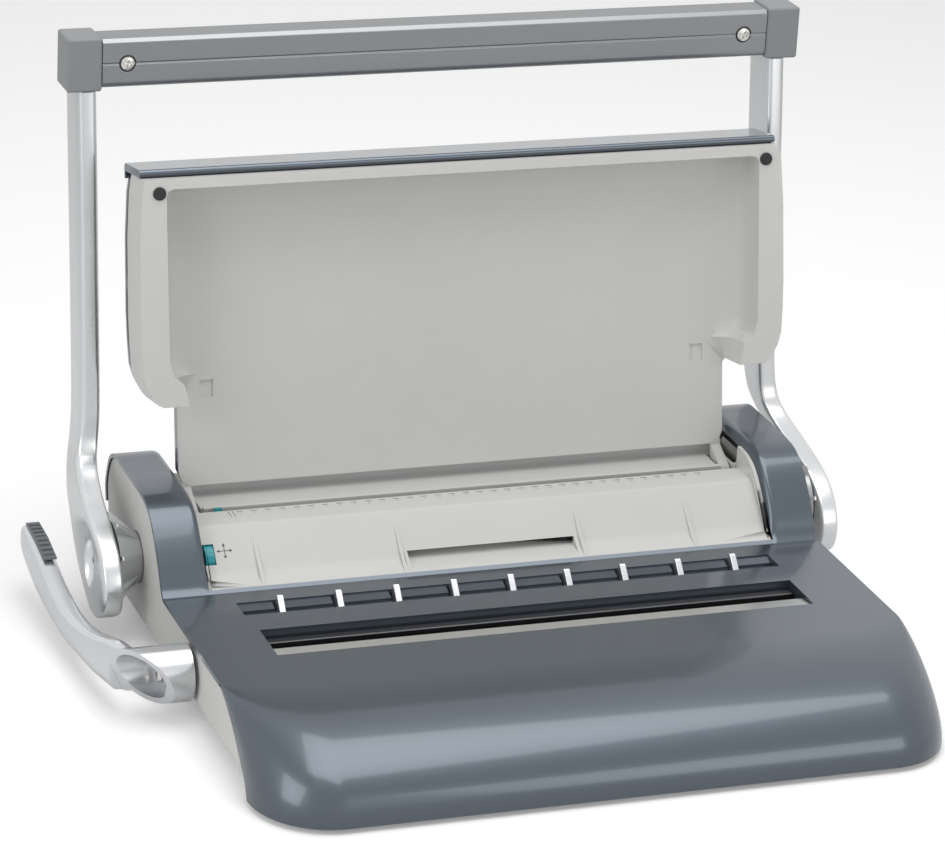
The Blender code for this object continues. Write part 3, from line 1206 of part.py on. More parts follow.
def lid_tray():
    """The beige inner tray of the paper rest, with its hinge lugs."""
    floor_back = LID_FLOOR + LID_FLOOR_WALL
    bm = bmesh.new()
    lid_slab(bm, lid_outline(), -LID_RIM, floor_back)
    made = piece("lid_tray", lid_frame(bm), BEIGE, LID)
    pocket = bmesh.new()
    half, top = LID_POCKET_HALF, LID_POCKET_TOP
    ear = LID_EAR_BOTTOM
    turn = OVERRUN * 0.8
    shapes = []
    for depth, shrink in ((-LID_RIM - OVERRUN, 0.0), (-LID_RIM + OVERRUN, 0.0), (LID_FLOOR - OVERRUN * 0.7, turn * 0.4),
                          (LID_FLOOR - OVERRUN * 0.2, turn), (LID_FLOOR, turn * 2)):
        wide = half - shrink
        right = [(LID_NECK_HALF + OVERRUN, -OVERRUN), (LID_NECK_HALF + OVERRUN, ear - GAP), (LID_NECK_HALF - GAP, ear),
                 (wide - turn, ear + turn * 1.6), (wide, ear + turn * 3.2), (wide, top - shrink - turn * 0.5),
                 (wide - turn * 0.5, top - shrink)]
        line = right + [(-x, up) for x, up in right[::-1]]
        shapes.append([(x, depth, up) for x, up in line])
    loft(pocket, shapes)
    combine(made, lid_frame(pocket))
    lugs = bmesh.new()
    for side in (-1, 1):
        circle = [(back, up) for back, up in arc((0, 0), LUG_RADIUS, LUG_RADIUS, -30, -240, 9)]
        foot = LID_NECK_BOTTOM + GAP * 10
        outline = circle + [(LID_FLOOR + GAP, LID_NECK_BOTTOM - GAP * 3), (LID_FLOOR + GAP, foot), (floor_back - GAP, foot),
                            (floor_back - GAP, LID_NECK_BOTTOM * 0.6)]
        slab(lugs, outline, side * LUG_INNER, side * LUG_OUTER)
    combine(made, lid_frame(lugs), "UNION")
    bores = bmesh.new()
    for side in (-1, 1):
        drum(bores, (side * (LUG_INNER - OVERRUN), 0, 0), (side * (LUG_OUTER + OVERRUN), 0, 0), LID_PIN_RADIUS + GAP, sides=20)
        drum(bores, (side * BUMPER_X, -LID_RIM - OVERRUN, BUMPER_UP), (side * BUMPER_X, -LID_RIM + BUMPER_PROUD * 2, BUMPER_UP),
             BUMPER_RADIUS * 0.7 + GAP, sides=20)
    combine(made, lid_frame(bores))
    return made


def lid_shell():
    """The painted outer shell of the paper rest, with the bead over its top edge."""
    front = LID_FLOOR + LID_FLOOR_WALL + GAP
    bm = bmesh.new()
    lid_slab(bm, lid_outline(LID_SHELL_WALL / 2), front, LID_BACK)
    made = piece("lid_shell", lid_frame(bm), BLUE_GREY, LID)
    soften(made, LID_SHELL_WALL * 2, 3, 60)
    hollow = bmesh.new()
    lid_slab(hollow, lid_outline(LID_SHELL_WALL * 1.8), front - OVERRUN, LID_BACK - LID_SHELL_WALL)
    combine(made, lid_frame(hollow))
    bead = bmesh.new()
    radius = BEAD_HEIGHT / 2
    up = LID_TOP + GAP + radius
    line = arc((-BEAD_FRONT + radius, up), radius, radius, 90, 270, 6)
    line += [(LID_BACK - LID_SHELL_WALL * 1.2, up - radius), (LID_BACK - LID_SHELL_WALL * 1.2, LID_TOP - LID_SHELL_WALL * 2),
             (LID_BACK - LID_SHELL_WALL * 0.2, LID_TOP - LID_SHELL_WALL * 2), (LID_BACK - LID_SHELL_WALL * 0.2, up + radius * 0.3),
             (LID_BACK - LID_SHELL_WALL * 1.2, up + radius)]
    slab(bead, line, -LID_HALF + LID_SWELL, LID_HALF - LID_SWELL)
    combine(made, lid_frame(bead), "UNION")
    return made


def lid_pins():
    """The paper rest's hinge pins, held in the side frames."""
    for side, word in ((-1, "left"), (1, "right")):
        bm = bmesh.new()
        drum(bm, (side * (LUG_INNER - GAP * 4), LID_PIVOT_Y, LID_PIVOT_Z),
             (side * (DIE_HALF + GAP + FRAME_PLATE + GAP * 4), LID_PIVOT_Y, LID_PIVOT_Z), LID_PIN_RADIUS, sides=20)
        piece(f"lid_pin_{word}", bm, STEEL, LID)


def bumpers():
    """Round rubber bumpers in the rest's upper corners."""
    for side, word in ((-1, "left"), (1, "right")):
        bm = bmesh.new()
        drum(bm, (side * BUMPER_X, -LID_RIM - GAP, BUMPER_UP), (side * BUMPER_X, -LID_RIM - BUMPER_PROUD, BUMPER_UP),
             BUMPER_RADIUS, BUMPER_RADIUS * 0.9, sides=20)
        made = piece(f"bumper_{word}", lid_frame(bm), RUBBER, LID)
        stem = bmesh.new()
        drum(stem, (side * BUMPER_X, -LID_RIM - BUMPER_PROUD / 2, BUMPER_UP),
             (side * BUMPER_X, -LID_RIM + BUMPER_PROUD * 1.8, BUMPER_UP), BUMPER_RADIUS * 0.7, sides=16)
        combine(made, lid_frame(stem), "UNION")


def thumb_wheel():
    """The facetted wheel on its threaded spindle."""
    y, z = wheel_centre()
    carrier = anchor("wheel_axis", (0, y, z))
    bm = bmesh.new()
    drum(bm, (-WHEEL_LEFT, y, z), (-WHEEL_RIGHT, y, z), WHEEL_RADIUS, sides=16)
    made = piece("guide_wheel", bm, TEAL, carrier, smooth=False)
    rod = bmesh.new()
    far = -GUIDE_LEFT + GUIDE_WIDTH + GUIDE_TRAVEL + OVERRUN
    drum(rod, (-WHEEL_LEFT - GAP * 2, y, z), (far, y, z), SPINDLE_RADIUS, sides=12)
    combine(made, rod, "UNION")
    return made


def edge_guide():
    """The paper's edge guide: a nut on the spindle, an arm and a blade in the throat."""
    y, z = wheel_centre()
    carrier = anchor("guide_slide", (0, y, z))
    arm_low = THROAT_Z - FASCIA_WALL * 2 - GAP * 5
    arm_high = THROAT_Z - FASCIA_WALL - GAP * 4
    nut = SPINDLE_RADIUS * 2
    left, right = -GUIDE_LEFT, -GUIDE_LEFT + GUIDE_WIDTH
    bm = bmesh.new()
    outline = [(y - nut / 2, z - nut), (y + nut, z - nut), (y + nut, z + nut / 2),
               (FASCIA_BEVEL_Y + FASCIA_WALL * 3, arm_low), (THROAT_Y, arm_low),
               (THROAT_Y, arm_high), (FASCIA_BEVEL_Y + FASCIA_WALL * 1.8, arm_high), (y - nut / 2, z + nut)]
    slab(bm, outline, left, right)
    made = piece("edge_guide", bm, TEAL, carrier)
    blade = bmesh.new()
    thin = PAPER_SLOT / 2 - GAP
    block(blade, (left, -thin, -PAPER_DEPTH + GAP * 4), (right, thin, GAP * 4))
    combine(made, tilted(blade), "UNION")
    bore = bmesh.new()
    drum(bore, (left - OVERRUN, y, z), (right + OVERRUN, y, z), SPINDLE_RADIUS + GAP, sides=16)
    combine(made, bore)
    return made


def chip_drawer():
    """The drawer for the punched chips, drawn out at the rear."""
    low = FOOT_HEIGHT + TRAY_FLOOR + GAP
    bm = bmesh.new()
    block(bm, (-DRAWER_HALF, DRAWER_FRONT, low), (DRAWER_HALF, DRAWER_BACK, DRAWER_TOP))
    made = piece("chip_drawer", bm, DARK_GREY, DRAWER)
    hollow = bmesh.new()
    block(hollow, (-DRAWER_HALF + DRAWER_WALL, DRAWER_FRONT + DRAWER_WALL, low + DRAWER_WALL),
          (DRAWER_HALF - DRAWER_WALL, DRAWER_BACK - DRAWER_WALL, DRAWER_TOP + OVERRUN))
    combine(made, hollow)
    face = bmesh.new()
    block(face, (-DRAWER_HALF * 0.3, DRAWER_BACK - GAP, low + DRAWER_TOP * 0.3),
          (DRAWER_HALF * 0.3, REAR_REACH + DRAWER_FACE, low + DRAWER_TOP * 0.38))
    combine(made, face, "UNION")
    return made


def recentre():
    """Stand the machine's box over the origin."""
    bpy.context.view_layer.update()
    graph = bpy.context.evaluated_depsgraph_get()
    low = Vector((math.inf,) * 3)
    high = Vector((-math.inf,) * 3)
    for member in PARTS.objects:
        if member.type != "MESH":
            continue
        shape = member.evaluated_get(graph)
        for vertex in shape.to_mesh().vertices:
            place = shape.matrix_world @ vertex.co
            low = Vector(map(min, low, place))
            high = Vector(map(max, high, place))
        shape.to_mesh_clear()
    MACHINE.location = (-(low.x + high.x) / 2, -(low.y + high.y) / 2, -low.z)


def build():
    """Make every part."""
    hood()
    wire_hooks()
    base_tray()
    closer_bed()
    feet()
    fascia()
    rear_cover()
    punch_frame()
    punch_comb()
    for side in (-1, 1):
        side_cover(side)
        side_frame(side)
        drive_shaft(side)
        hub(side)
        arm(side)
        end_cap(side)
    grip_bar()
    handle_screws()
    closer_lever()
    lever_pad()
    closer_shaft()
    screw("closer_screw", (-LEVER_BORE_FLOOR - SCREW_HEAD_HEIGHT - GAP, CLOSER_Y, CLOSER_Z), (1, 0, 0),
          SCREW_HEAD_HEIGHT + LEVER_BORE_RADIUS / 4, STEEL, CLOSER)
    closer_jaw()
    closer_anvil()
    lid_tray()
    lid_shell()
    lid_pins()
    bumpers()
    thumb_wheel()
    edge_guide()
    chip_drawer()
    recentre()


build()
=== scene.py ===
# %% [markdown]
# # A desk wire binding machine
# This lesson dresses a jointed model of a wire binding machine: a punch with a full-width handle, a closer
# with a side lever, and a paper rest. The solid model is loaded as a fixed frame. Each visible piece is then
# made again with finer edges, rides on the same moving body, and gets its own finish.

import math

import bmesh
import bpy
import numpy as np
from mathutils import Matrix, Vector


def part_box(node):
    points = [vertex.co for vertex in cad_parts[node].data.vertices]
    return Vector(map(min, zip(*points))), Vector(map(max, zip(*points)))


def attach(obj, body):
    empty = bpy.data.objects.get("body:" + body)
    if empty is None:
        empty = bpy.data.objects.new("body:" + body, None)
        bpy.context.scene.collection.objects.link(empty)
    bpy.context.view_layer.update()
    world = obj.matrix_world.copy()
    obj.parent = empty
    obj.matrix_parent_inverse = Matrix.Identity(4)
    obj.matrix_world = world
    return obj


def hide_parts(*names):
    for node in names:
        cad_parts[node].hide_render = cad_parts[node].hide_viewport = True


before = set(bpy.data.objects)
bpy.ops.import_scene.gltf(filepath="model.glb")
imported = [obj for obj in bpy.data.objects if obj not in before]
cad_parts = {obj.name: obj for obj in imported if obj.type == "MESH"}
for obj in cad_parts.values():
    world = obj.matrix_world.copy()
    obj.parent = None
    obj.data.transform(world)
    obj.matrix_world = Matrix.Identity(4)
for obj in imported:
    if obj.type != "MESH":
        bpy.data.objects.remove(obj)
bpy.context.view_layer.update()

# %% [markdown]
# Everything below is drawn in millimetres from the rear edge of the closing slot and from the table, because
# those are the places that a ruler on the real machine would start from. The grip bar says where that frame
# lies in the model, so one matrix takes every finished mesh to its place and to metres.

# %% The machine's own frame
bar_low, bar_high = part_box("grip_bar")
SHIFT = Vector(((bar_low.x + bar_high.x) / 2, bar_low.y - 0.189, 0.0))
PLACE = Matrix.Translation(SHIFT) @ Matrix.Scale(0.001, 4)
TILT = math.radians(9.5)
PAPER = Matrix.Translation((0, 107.5, 72.4)) @ Matrix.Rotation(-TILT, 4, "X")
REST = Matrix.Translation((0, 120.0, 65.0)) @ Matrix.Rotation(-TILT, 4, "X")
HANDLE_AXIS = Vector((0, 112.0, 46.0))
CLOSER_AXIS = Vector((0, -5.0, 27.0))
print("shift in metres", [round(v, 5) for v in SHIFT])

# %% [markdown]
# ## Finishes
# A finish is a Principled shader with small changes in colour, roughness and height. Reading the node tree as
# a sum is easier than reading a row of node calls, so one small class wraps a socket and overloads the
# operators, and every other node comes from a single method.

# %% Sockets that can be added and multiplied
class Wire:
    """A value in a node tree, which can be used in a sum."""

    def __init__(self, tree, socket):
        self.tree, self.socket = tree, socket

    def combine(self, operation, first, second):
        node = self.tree.nodes.new("ShaderNodeMath")
        node.operation = operation
        for slot, value in zip(node.inputs, (first, second)):
            if isinstance(value, Wire):
                self.tree.links.new(value.socket, slot)
            else:
                slot.default_value = value
        return Wire(self.tree, node.outputs[0])

    def __add__(self, other):
        return self.combine("ADD", self, other)

    def __radd__(self, other):
        return self.combine("ADD", other, self)

    def __sub__(self, other):
        return self.combine("SUBTRACT", self, other)

    def __rsub__(self, other):
        return self.combine("SUBTRACT", other, self)

    def __mul__(self, other):
        return self.combine("MULTIPLY", self, other)

    def __rmul__(self, other):
        return self.combine("MULTIPLY", other, self)

    def __truediv__(self, other):
        return self.combine("DIVIDE", self, other)

    def __pow__(self, other):
        return self.combine("POWER", self, other)


class Finish:
    """A material whose nodes are added by one method."""

    def __init__(self, name, **fixed):
        self.material = bpy.data.materials.new(name)
        self.material.use_nodes = True
        self.tree = self.material.node_tree
        self.shader = self.tree.nodes["Principled BSDF"]
        for socket, value in fixed.items():
            self.shader.inputs[socket.replace("_", " ")].default_value = value
        self.place = self.node("ShaderNodeTexCoord", out="Object")

    def node(self, kind, settings=(), sockets=(), out=0):
        made = self.tree.nodes.new(kind)
        for key, value in dict(settings).items():
            setattr(made, key, value)
        for key, value in dict(sockets).items():
            if isinstance(value, Wire):
                self.tree.links.new(value.socket, made.inputs[key])
            else:
                made.inputs[key].default_value = value
        return Wire(self.tree, made.outputs[out])

    def speckle(self, scale, detail=2.0, stretch=(1, 1, 1), roughness=0.5):
        spread = self.node("ShaderNodeMapping", (), {"Vector": self.place, "Scale": stretch})
        return self.node("ShaderNodeTexNoise", (), {"Vector": spread, "Scale": scale, "Detail": detail,
                                                   "Roughness": roughness}, "Fac")

    def blend(self, share, first, second):
        return self.node("ShaderNodeMix", {"data_type": "RGBA"}, {0: share, 6: (*first, 1), 7: (*second, 1)}, 2)

    def feed(self, **links):
        for socket, value in links.items():
            self.tree.links.new(value.socket, self.shader.inputs[socket.replace("_", " ")])

    def bump(self, height, distance, strength=1.0):
        self.feed(Normal=self.node("ShaderNodeBump", (), {"Height": height, "Distance": distance,
                                                          "Strength": strength}))


def shade(colour, factor):
    """A colour made lighter or darker."""
    return tuple(min(1.0, channel * factor) for channel in colour)


# %% [markdown]
# The hood and the paper rest's back are moulded and painted blue-grey. Such paint has fine metal flakes under
# a clear coat: the flakes are a very small noise in the colour and the roughness, and the coat's faint orange
# peel is a slow bump.

# %% Blue-grey metallic paint
def flake_paint(name, colour, roughness=0.3, metallic=0.6):
    paint = Finish(name, Coat_Weight=0.55, Coat_Roughness=0.08, Metallic=metallic)
    flakes = paint.speckle(5200, 1.0)
    clouds = paint.speckle(14, 2.0)
    share = flakes * 0.75 + clouds * 0.25
    paint.feed(Base_Color=paint.blend(share, shade(colour, 0.84), shade(colour, 1.16)),
               Roughness=flakes * 0.10 + (roughness - 0.05))
    paint.bump(paint.speckle(420, 2.0), 0.00003, 0.35)
    return paint.material


HOOD_PAINT = flake_paint("hood_paint_fine", (0.078, 0.098, 0.120))
REST_PAINT = flake_paint("rest_paint_fine", (0.088, 0.110, 0.134), 0.24)
print("painted finishes:", HOOD_PAINT.name, REST_PAINT.name)

# %% [markdown]
# The pale panels are unpainted mouldings with a spark-eroded grain, which is what keeps them matte. Two noises
# make it: fine pits for the bump and slow clouds for the slight yellowing of the colour.

# %% Grained mouldings
def moulded(name, colour, roughness=0.5, grain=0.00004, scale=1500):
    paint = Finish(name)
    pits = paint.speckle(scale, 3.0, roughness=0.7)
    clouds = paint.speckle(22, 2.0)
    paint.feed(Base_Color=paint.blend(clouds * 0.7 + pits * 0.3, shade(colour, 0.955), shade(colour, 1.04)),
               Roughness=pits * 0.12 + (roughness - 0.06))
    paint.bump(pits, grain, 0.5)
    return paint.material


BEIGE = moulded("moulded_beige_fine", (0.585, 0.585, 0.565))
TRAY_BEIGE = moulded("rest_beige_fine", (0.60, 0.595, 0.575), 0.46)
CAP_GREY = moulded("cap_grey_fine", (0.235, 0.245, 0.255), 0.46)
GRIP_GREY = moulded("grip_grey_fine", (0.155, 0.165, 0.175), 0.55, 0.00006)
RUBBER = moulded("rubber_fine", (0.018, 0.018, 0.02), 0.72, 0.00006)
TEAL = moulded("teal_fine", (0.005, 0.30, 0.35), 0.34, 0.00002)
INK = moulded("ink_fine", (0.06, 0.065, 0.07), 0.6, 0.00001)
print("moulded finishes ready")

# %% [markdown]
# The arms, the hubs and the lever are silver: a bright metallic paint with a silky surface. The bar is a drawn
# aluminium section, so its fine lines run along its length, and the closer's strip is brushed the same way.

# %% Silver paint and drawn metal
def silver(name, colour, roughness=0.27, metallic=0.85):
    paint = Finish(name, Metallic=metallic, Coat_Weight=0.15, Coat_Roughness=0.2)
    flakes = paint.speckle(4800, 1.0)
    clouds = paint.speckle(30, 2.0)
    paint.feed(Base_Color=paint.blend(flakes * 0.6 + clouds * 0.4, shade(colour, 0.90), shade(colour, 1.08)),
               Roughness=flakes * 0.12 + clouds * 0.06 + (roughness - 0.09))
    paint.bump(paint.speckle(900, 2.0), 0.00002, 0.3)
    return paint.material


def drawn(name, colour, roughness, lines=(1, 60, 60), depth=0.00002):
    paint = Finish(name, Metallic=1.0)
    streaks = paint.speckle(60, 3.0, lines, 0.65)
    paint.feed(Base_Color=paint.blend(streaks, shade(colour, 0.88), shade(colour, 1.10)),
               Roughness=streaks * 0.16 + (roughness - 0.08))
    paint.bump(streaks, depth, 0.5)
    return paint.material


SILVER = silver("silver_fine", (0.66, 0.67, 0.68))
HUB_SILVER = silver("hub_silver_fine", (0.56, 0.57, 0.58), 0.33, 0.7)
LEVER_SILVER = silver("lever_silver_fine", (0.64, 0.65, 0.67), 0.24)
ANODISED = drawn("anodised_fine", (0.27, 0.28, 0.29), 0.40)
STEEL = drawn("steel_fine", (0.62, 0.62, 0.60), 0.30)
DARK_STEEL = drawn("dark_steel_fine", (0.10, 0.10, 0.105), 0.38)
SCREW_STEEL = drawn("screw_steel_fine", (0.66, 0.65, 0.62), 0.22, (1, 1, 1))
print("metal finishes ready")

# %% [markdown]
# ## Shaping tools
# Most pieces are a section pushed along a line, or a skin whose points are placed by a rule. For the first, a
# face is drawn from a few points and extruded. For the second, a grid is created and each of its points is
# moved: that is quick to write, and the grid's even rows shade smoothly.

# %% Drawing, extruding and skinning
def spline(table, share):
    """A smooth path through the rows of a table."""
    rows = np.asarray(table, float)
    at = min(max(share, 0.0), 1.0) * (len(rows) - 1)
    i = min(int(at), len(rows) - 2)
    t = at - i
    p1, p2 = rows[i], rows[i + 1]
    p0 = rows[i - 1] if i > 0 else 2 * p1 - p2
    p3 = rows[i + 2] if i + 2 < len(rows) else 2 * p2 - p1
    return 0.5 * (2 * p1 + (p2 - p0) * t + (2 * p0 - 5 * p1 + 4 * p2 - p3) * t ** 2
                  + (3 * p1 - p0 - 3 * p2 + p3) * t ** 3)


def push(bm, points, vector):
    """A face through a few points, extruded along a vector."""
    face = bm.faces.new([bm.verts.new(point) for point in points])
    side = bmesh.ops.extrude_face_region(bm, geom=[face])["geom"]
    moved = [item for item in side if isinstance(item, bmesh.types.BMVert)]
    bmesh.ops.translate(bm, vec=vector, verts=moved)
    return list(face.verts) + moved


def slab(bm, outline, near, far):
    """A (y, z) outline extruded along X."""
    return push(bm, [(near, y, z) for y, z in outline], (far - near, 0, 0))


def block(bm, low, high):
    """A box between two corners."""
    low, high = Vector(low), Vector(high)
    made = bmesh.ops.create_cube(bm, size=1.0)["verts"]
    bmesh.ops.scale(bm, vec=high - low, verts=made)
    bmesh.ops.translate(bm, vec=(low + high) / 2, verts=made)
    return made


def rod(bm, start, end, radius, end_radius=None, sides=48):
    """A cylinder or a cone between two points."""
    start, end = Vector(start), Vector(end)
    turn = (end - start).to_track_quat("Z", "Y").to_matrix().to_4x4()
    last = radius if end_radius is None else end_radius
    return bmesh.ops.create_cone(bm, cap_ends=True, segments=sides, radius1=radius, radius2=last,
                                 depth=(end - start).length,
                                 matrix=Matrix.Translation((start + end) / 2) @ turn)["verts"]


def skin(bm, across, along, rule, closed=False):
    """A grid whose points are moved by a rule of two shares; closed rolls it into a capped tube."""
    made = bmesh.ops.create_grid(bm, x_segments=across, y_segments=along, size=1.0)["verts"]
    for vert in made:
        vert.co = Vector(rule((vert.co.x + 1) / 2, (vert.co.y + 1) / 2))
    if closed:
        bmesh.ops.remove_doubles(bm, verts=made, dist=0.0001)
        bmesh.ops.holes_fill(bm, edges=[edge for edge in bm.edges if edge.is_boundary])
    return made


def lathe(bm, profile, centre, axis, steps=64):
    """A profile of (along, radius) turned round an axis."""
    axis = Vector(axis).normalized()
    side = axis.orthogonal().normalized()
    chain = [bm.verts.new(Vector(centre) + axis * a + side * r) for a, r in profile]
    edges = [bm.edges.new(pair) for pair in zip(chain, chain[1:])]
    bmesh.ops.spin(bm, geom=chain + edges, cent=centre, axis=axis, angle=2 * math.pi, steps=steps,
                   use_merge=True)
    bmesh.ops.remove_doubles(bm, verts=bm.verts[:], dist=0.001)


# %% [markdown]
# A cut is a Boolean with a tool that is thrown away afterwards. Bevels come last, because a worn-in moulded
# edge runs along the cuts as well, and a weighted normal keeps the flat faces flat beside them.

# %% Cutting and finishing
def to_object(name, bm, frame_matrix=None):
    """Store a bmesh as an object at the origin, with its place in its mesh."""
    bmesh.ops.remove_doubles(bm, verts=bm.verts[:], dist=0.00001)
    if frame_matrix is not None:
        bmesh.ops.transform(bm, matrix=frame_matrix, verts=bm.verts[:])
    bmesh.ops.transform(bm, matrix=PLACE, verts=bm.verts[:])
    bmesh.ops.recalc_face_normals(bm, faces=bm.faces[:])
    mesh = bpy.data.meshes.new(name)
    bm.to_mesh(mesh)
    bm.free()
    made = bpy.data.objects.new(name, mesh)
    bpy.context.scene.collection.objects.link(made)
    return made


def bake(target):
    """Apply a piece's modifiers to its mesh."""
    bpy.context.view_layer.update()
    graph = bpy.context.evaluated_depsgraph_get()
    mesh = bpy.data.meshes.new_from_object(target.evaluated_get(graph))
    target.modifiers.clear()
    target.data = mesh


def carve(target, bm, operation="DIFFERENCE", frame_matrix=None, overlaps=False):
    """Cut a shape from a piece, or join one to it."""
    tool = to_object("tool", bm, frame_matrix)
    change = target.modifiers.new("carve", "BOOLEAN")
    change.operation, change.solver, change.object, change.use_self = operation, "EXACT", tool, overlaps
    bake(target)
    bpy.data.objects.remove(tool, do_unlink=True)


def dress(target, body, paint, nodes=(), edge=0.4, segments=3, angle=38, crease=32):
    """Round a piece's edges, paint it and set it on its body."""
    target.data.materials.clear()
    target.data.materials.append(paint)
    target.data.shade_smooth()
    target.data.set_sharp_from_angle(angle=math.radians(crease))
    if edge:
        bevel = target.modifiers.new("edges", "BEVEL")
        bevel.width, bevel.segments, bevel.limit_method = edge / 1000, segments, "ANGLE"
        bevel.angle_limit, bevel.use_clamp_overlap, bevel.harden_normals = math.radians(angle), True, False
        bevel.miter_outer = "MITER_ARC"
        even = target.modifiers.new("even", "WEIGHTED_NORMAL")
        even.keep_sharp, even.weight = True, 60
    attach(target, body)
    if nodes:
        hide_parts(*nodes)
    print(f"{target.name}: {len(target.data.polygons)} faces on {body}")
    return target


# %% [markdown]
# ## The camera
# The photograph was taken from the front left, a little above. The view was solved from the slot, the groove,
# the hooks, the bar and the paper rest, and it has a slight roll.

# %% Camera
camera_data = bpy.data.cameras.new("camera")
camera = bpy.data.objects.new("camera", camera_data)
bpy.context.scene.collection.objects.link(camera)
bpy.context.scene.camera = camera
yaw, pitch, roll = 0.3545769, 0.3665191, 0.0533505
forward = Vector((math.sin(yaw) * math.cos(pitch), math.cos(yaw) * math.cos(pitch), -math.sin(pitch)))
level = Vector((math.cos(yaw), -math.sin(yaw), 0.0))
upward = level.cross(forward)
right = level * math.cos(roll) + upward * math.sin(roll)
top = upward * math.cos(roll) - level * math.sin(roll)
turn = Matrix((right, top, -forward)).transposed().to_4x4()
camera.matrix_world = Matrix.Translation(PLACE @ Vector((-761.009, -1947.280, 953.163))) @ turn
camera_data.sensor_width = 36.0
camera_data.lens = 4092.408 / 945 * 36.0
camera_data.clip_end = 50.0
print("lens", round(camera_data.lens, 1), "mm")

# %% [markdown]
# ## The hood
# One moulding forms the two shoulders, the desk and the rounded front. Its side profile is the same from side
# to side except at the corners, where it draws back along a quarter circle, so a grid placed by two rules
# makes it: one rule for the profile, one for the corner.

# %% Hood profile
SHOULDER = [(52 + 130 * y, 45.5 + 43.6 * z) for y, z in
            ((0.985, 0.18), (1.0, 0.42), (0.975, 0.66), (0.93, 0.88), (0.85, 0.99), (0.74, 1.0), (0.62, 1.0),
             (0.48, 1.0), (0.33, 0.962), (0.23, 0.826), (0.145, 0.573), (0.075, 0.298), (0.035, 0.096), (0, 0))]


def superellipse(bend, reach, fullness, share):
    """The front face from the bend down to its foot."""
    angle = math.pi / 2 * share
    out = math.sin(angle) ** (2 / fullness)
    up = max(0.0, math.cos(angle)) ** (2 / fullness)
    return np.array((-bend - (reach - bend) * out, 3.0 + 42.5 * up))


def hood_point(share, turned):
    """A point of the hood's profile; turned goes from 0 in the middle to 1 at the side rim."""
    if share <= 0.4:
        return spline(SHOULDER, share / 0.4)
    bend, reach, fullness = 71 - 11 * turned, 160 - 44 * turned, 2.3 - 0.95 * turned
    if share <= 0.5:
        t = (share - 0.4) / 0.1
        return np.array((52 + (-bend - 52) * t, 45.5))
    first = superellipse(71, 160, 2.3, (share - 0.5) / 0.5)
    last = superellipse(60, 116, 1.35, (share - 0.5) / 0.5)
    return first + (last - first) * turned


def corner_turn(x):
    """How far the plan corner has turned."""
    inside = max(0.0, abs(x) - 155.0) / 42.0
    return 1 - math.sqrt(max(0.0, 1 - min(1.0, inside) ** 2))


HOOD_X = [155 + 42 * math.sin(math.radians(a)) for a in range(0, 91, 5)]
HOOD_X = sorted([x for x in HOOD_X if not 168.8 < x < 174.5] + [169.7, 170.4, 171.2, 172.1, 173.0, 174.0])
HOOD_X = [-x for x in HOOD_X[::-1]] + [-90, -30, 30, 90] + HOOD_X


def hood_rule(u, v):
    """The place of the hood's grid points."""
    x = HOOD_X[round(u * (len(HOOD_X) - 1))]
    y, z = hood_point(v, corner_turn(x))
    inside = min(4.0, max(0.0, 174.0 - abs(x)))
    drop = 4.0 - math.sqrt(16.0 - inside ** 2)
    if drop and y > 52:
        ahead, behind = hood_point(min(v + 0.004, 0.4), 0), hood_point(max(v - 0.004, 0), 0)
        run = ahead - behind
        run = run / (np.linalg.norm(run) + 1e-9)
        weight = min(1.0, max(0.0, (z - 45.5) / 16.0))
        y, z = y - drop * weight * run[1], z + drop * weight * run[0]
    return x, y, z


# %% Hood with its slot and groove
HOOKS = [33.8668 * (index - 4) for index in range(9)]


def make_hood():
    bm = bmesh.new()
    skin(bm, len(HOOD_X) - 1, 120, hood_rule)
    bmesh.ops.recalc_face_normals(bm, faces=bm.faces[:])
    hood = to_object("hood_shell", bm)
    for face in hood.data.polygons:
        if face.center.z < 0.046 and face.center.y < 0.0 and abs(face.center.x) < 0.1 and face.normal.z < -0.5:
            hood.data.flip_normals()
            break
    wall = hood.modifiers.new("wall", "SOLIDIFY")
    wall.thickness, wall.offset = 0.0025, -1
    bake(hood)
    walls = bmesh.new()
    block(walls, (-159, -36, 35.5), (159, 2, 44.2))
    block(walls, (-161.4, 18.5, 39.0), (161.4, 39.7, 44.2))
    carve(hood, walls, "UNION")
    opening = bmesh.new()
    block(opening, (-170, 54.5, 0), (170, 192, 102))
    block(opening, (-157, -34, 0), (157, 0, 92))
    carve(hood, opening)
    groove = bmesh.new()
    line = [(37.7, 55), (37.7, 44.6), (31.2, 43.0), (31.2, 41.2), (24.6, 41.2), (24.6, 42.6), (20.5, 44.4), (20.5, 55)]
    slab(groove, line, -159.4, 159.4)
    for x in HOOKS:
        block(groove, (x - 3.4, 25.3, 29), (x + 2.2, 37.4, 45.8))
    carve(hood, groove, overlaps=True)
    return dress(hood, "base", HOOD_PAINT, ["hood"], 0.7, 3, 40, 30)


make_hood()

# %% [markdown]
# Nine small hooks stand in the groove and hold the wire comb open while the sheets are hung on it. Each is a
# thin fin with a raised rear corner, extruded from its side outline.

# %% Wire hooks
def make_hooks():
    bm = bmesh.new()
    block(bm, (-159.4, 23.94, 34.7), (159.4, 37.7, 38.7))
    hooks = to_object("hook_comb", bm)
    fins = bmesh.new()
    for x in HOOKS:
        slab(fins, [(36.5, 36.7), (36.5, 48.0), (35.6, 49.2), (34.2, 49.7), (32.8, 49.0), (26.4, 42.4), (26.2, 36.7)],
             x - 1.8, x + 1.8)
    carve(hooks, fins, "UNION")
    return dress(hooks, "base", LEVER_SILVER, ["wire_hooks"], 0.45)


make_hooks()

# %% [markdown]
# ## The fascia
# The pale panel in front of the throat carries the printed scale, four thin ribs, a thumb notch and the slot
# of the edge guide's wheel. It is a bent wall, so its line is offset into a closed outline and extruded.

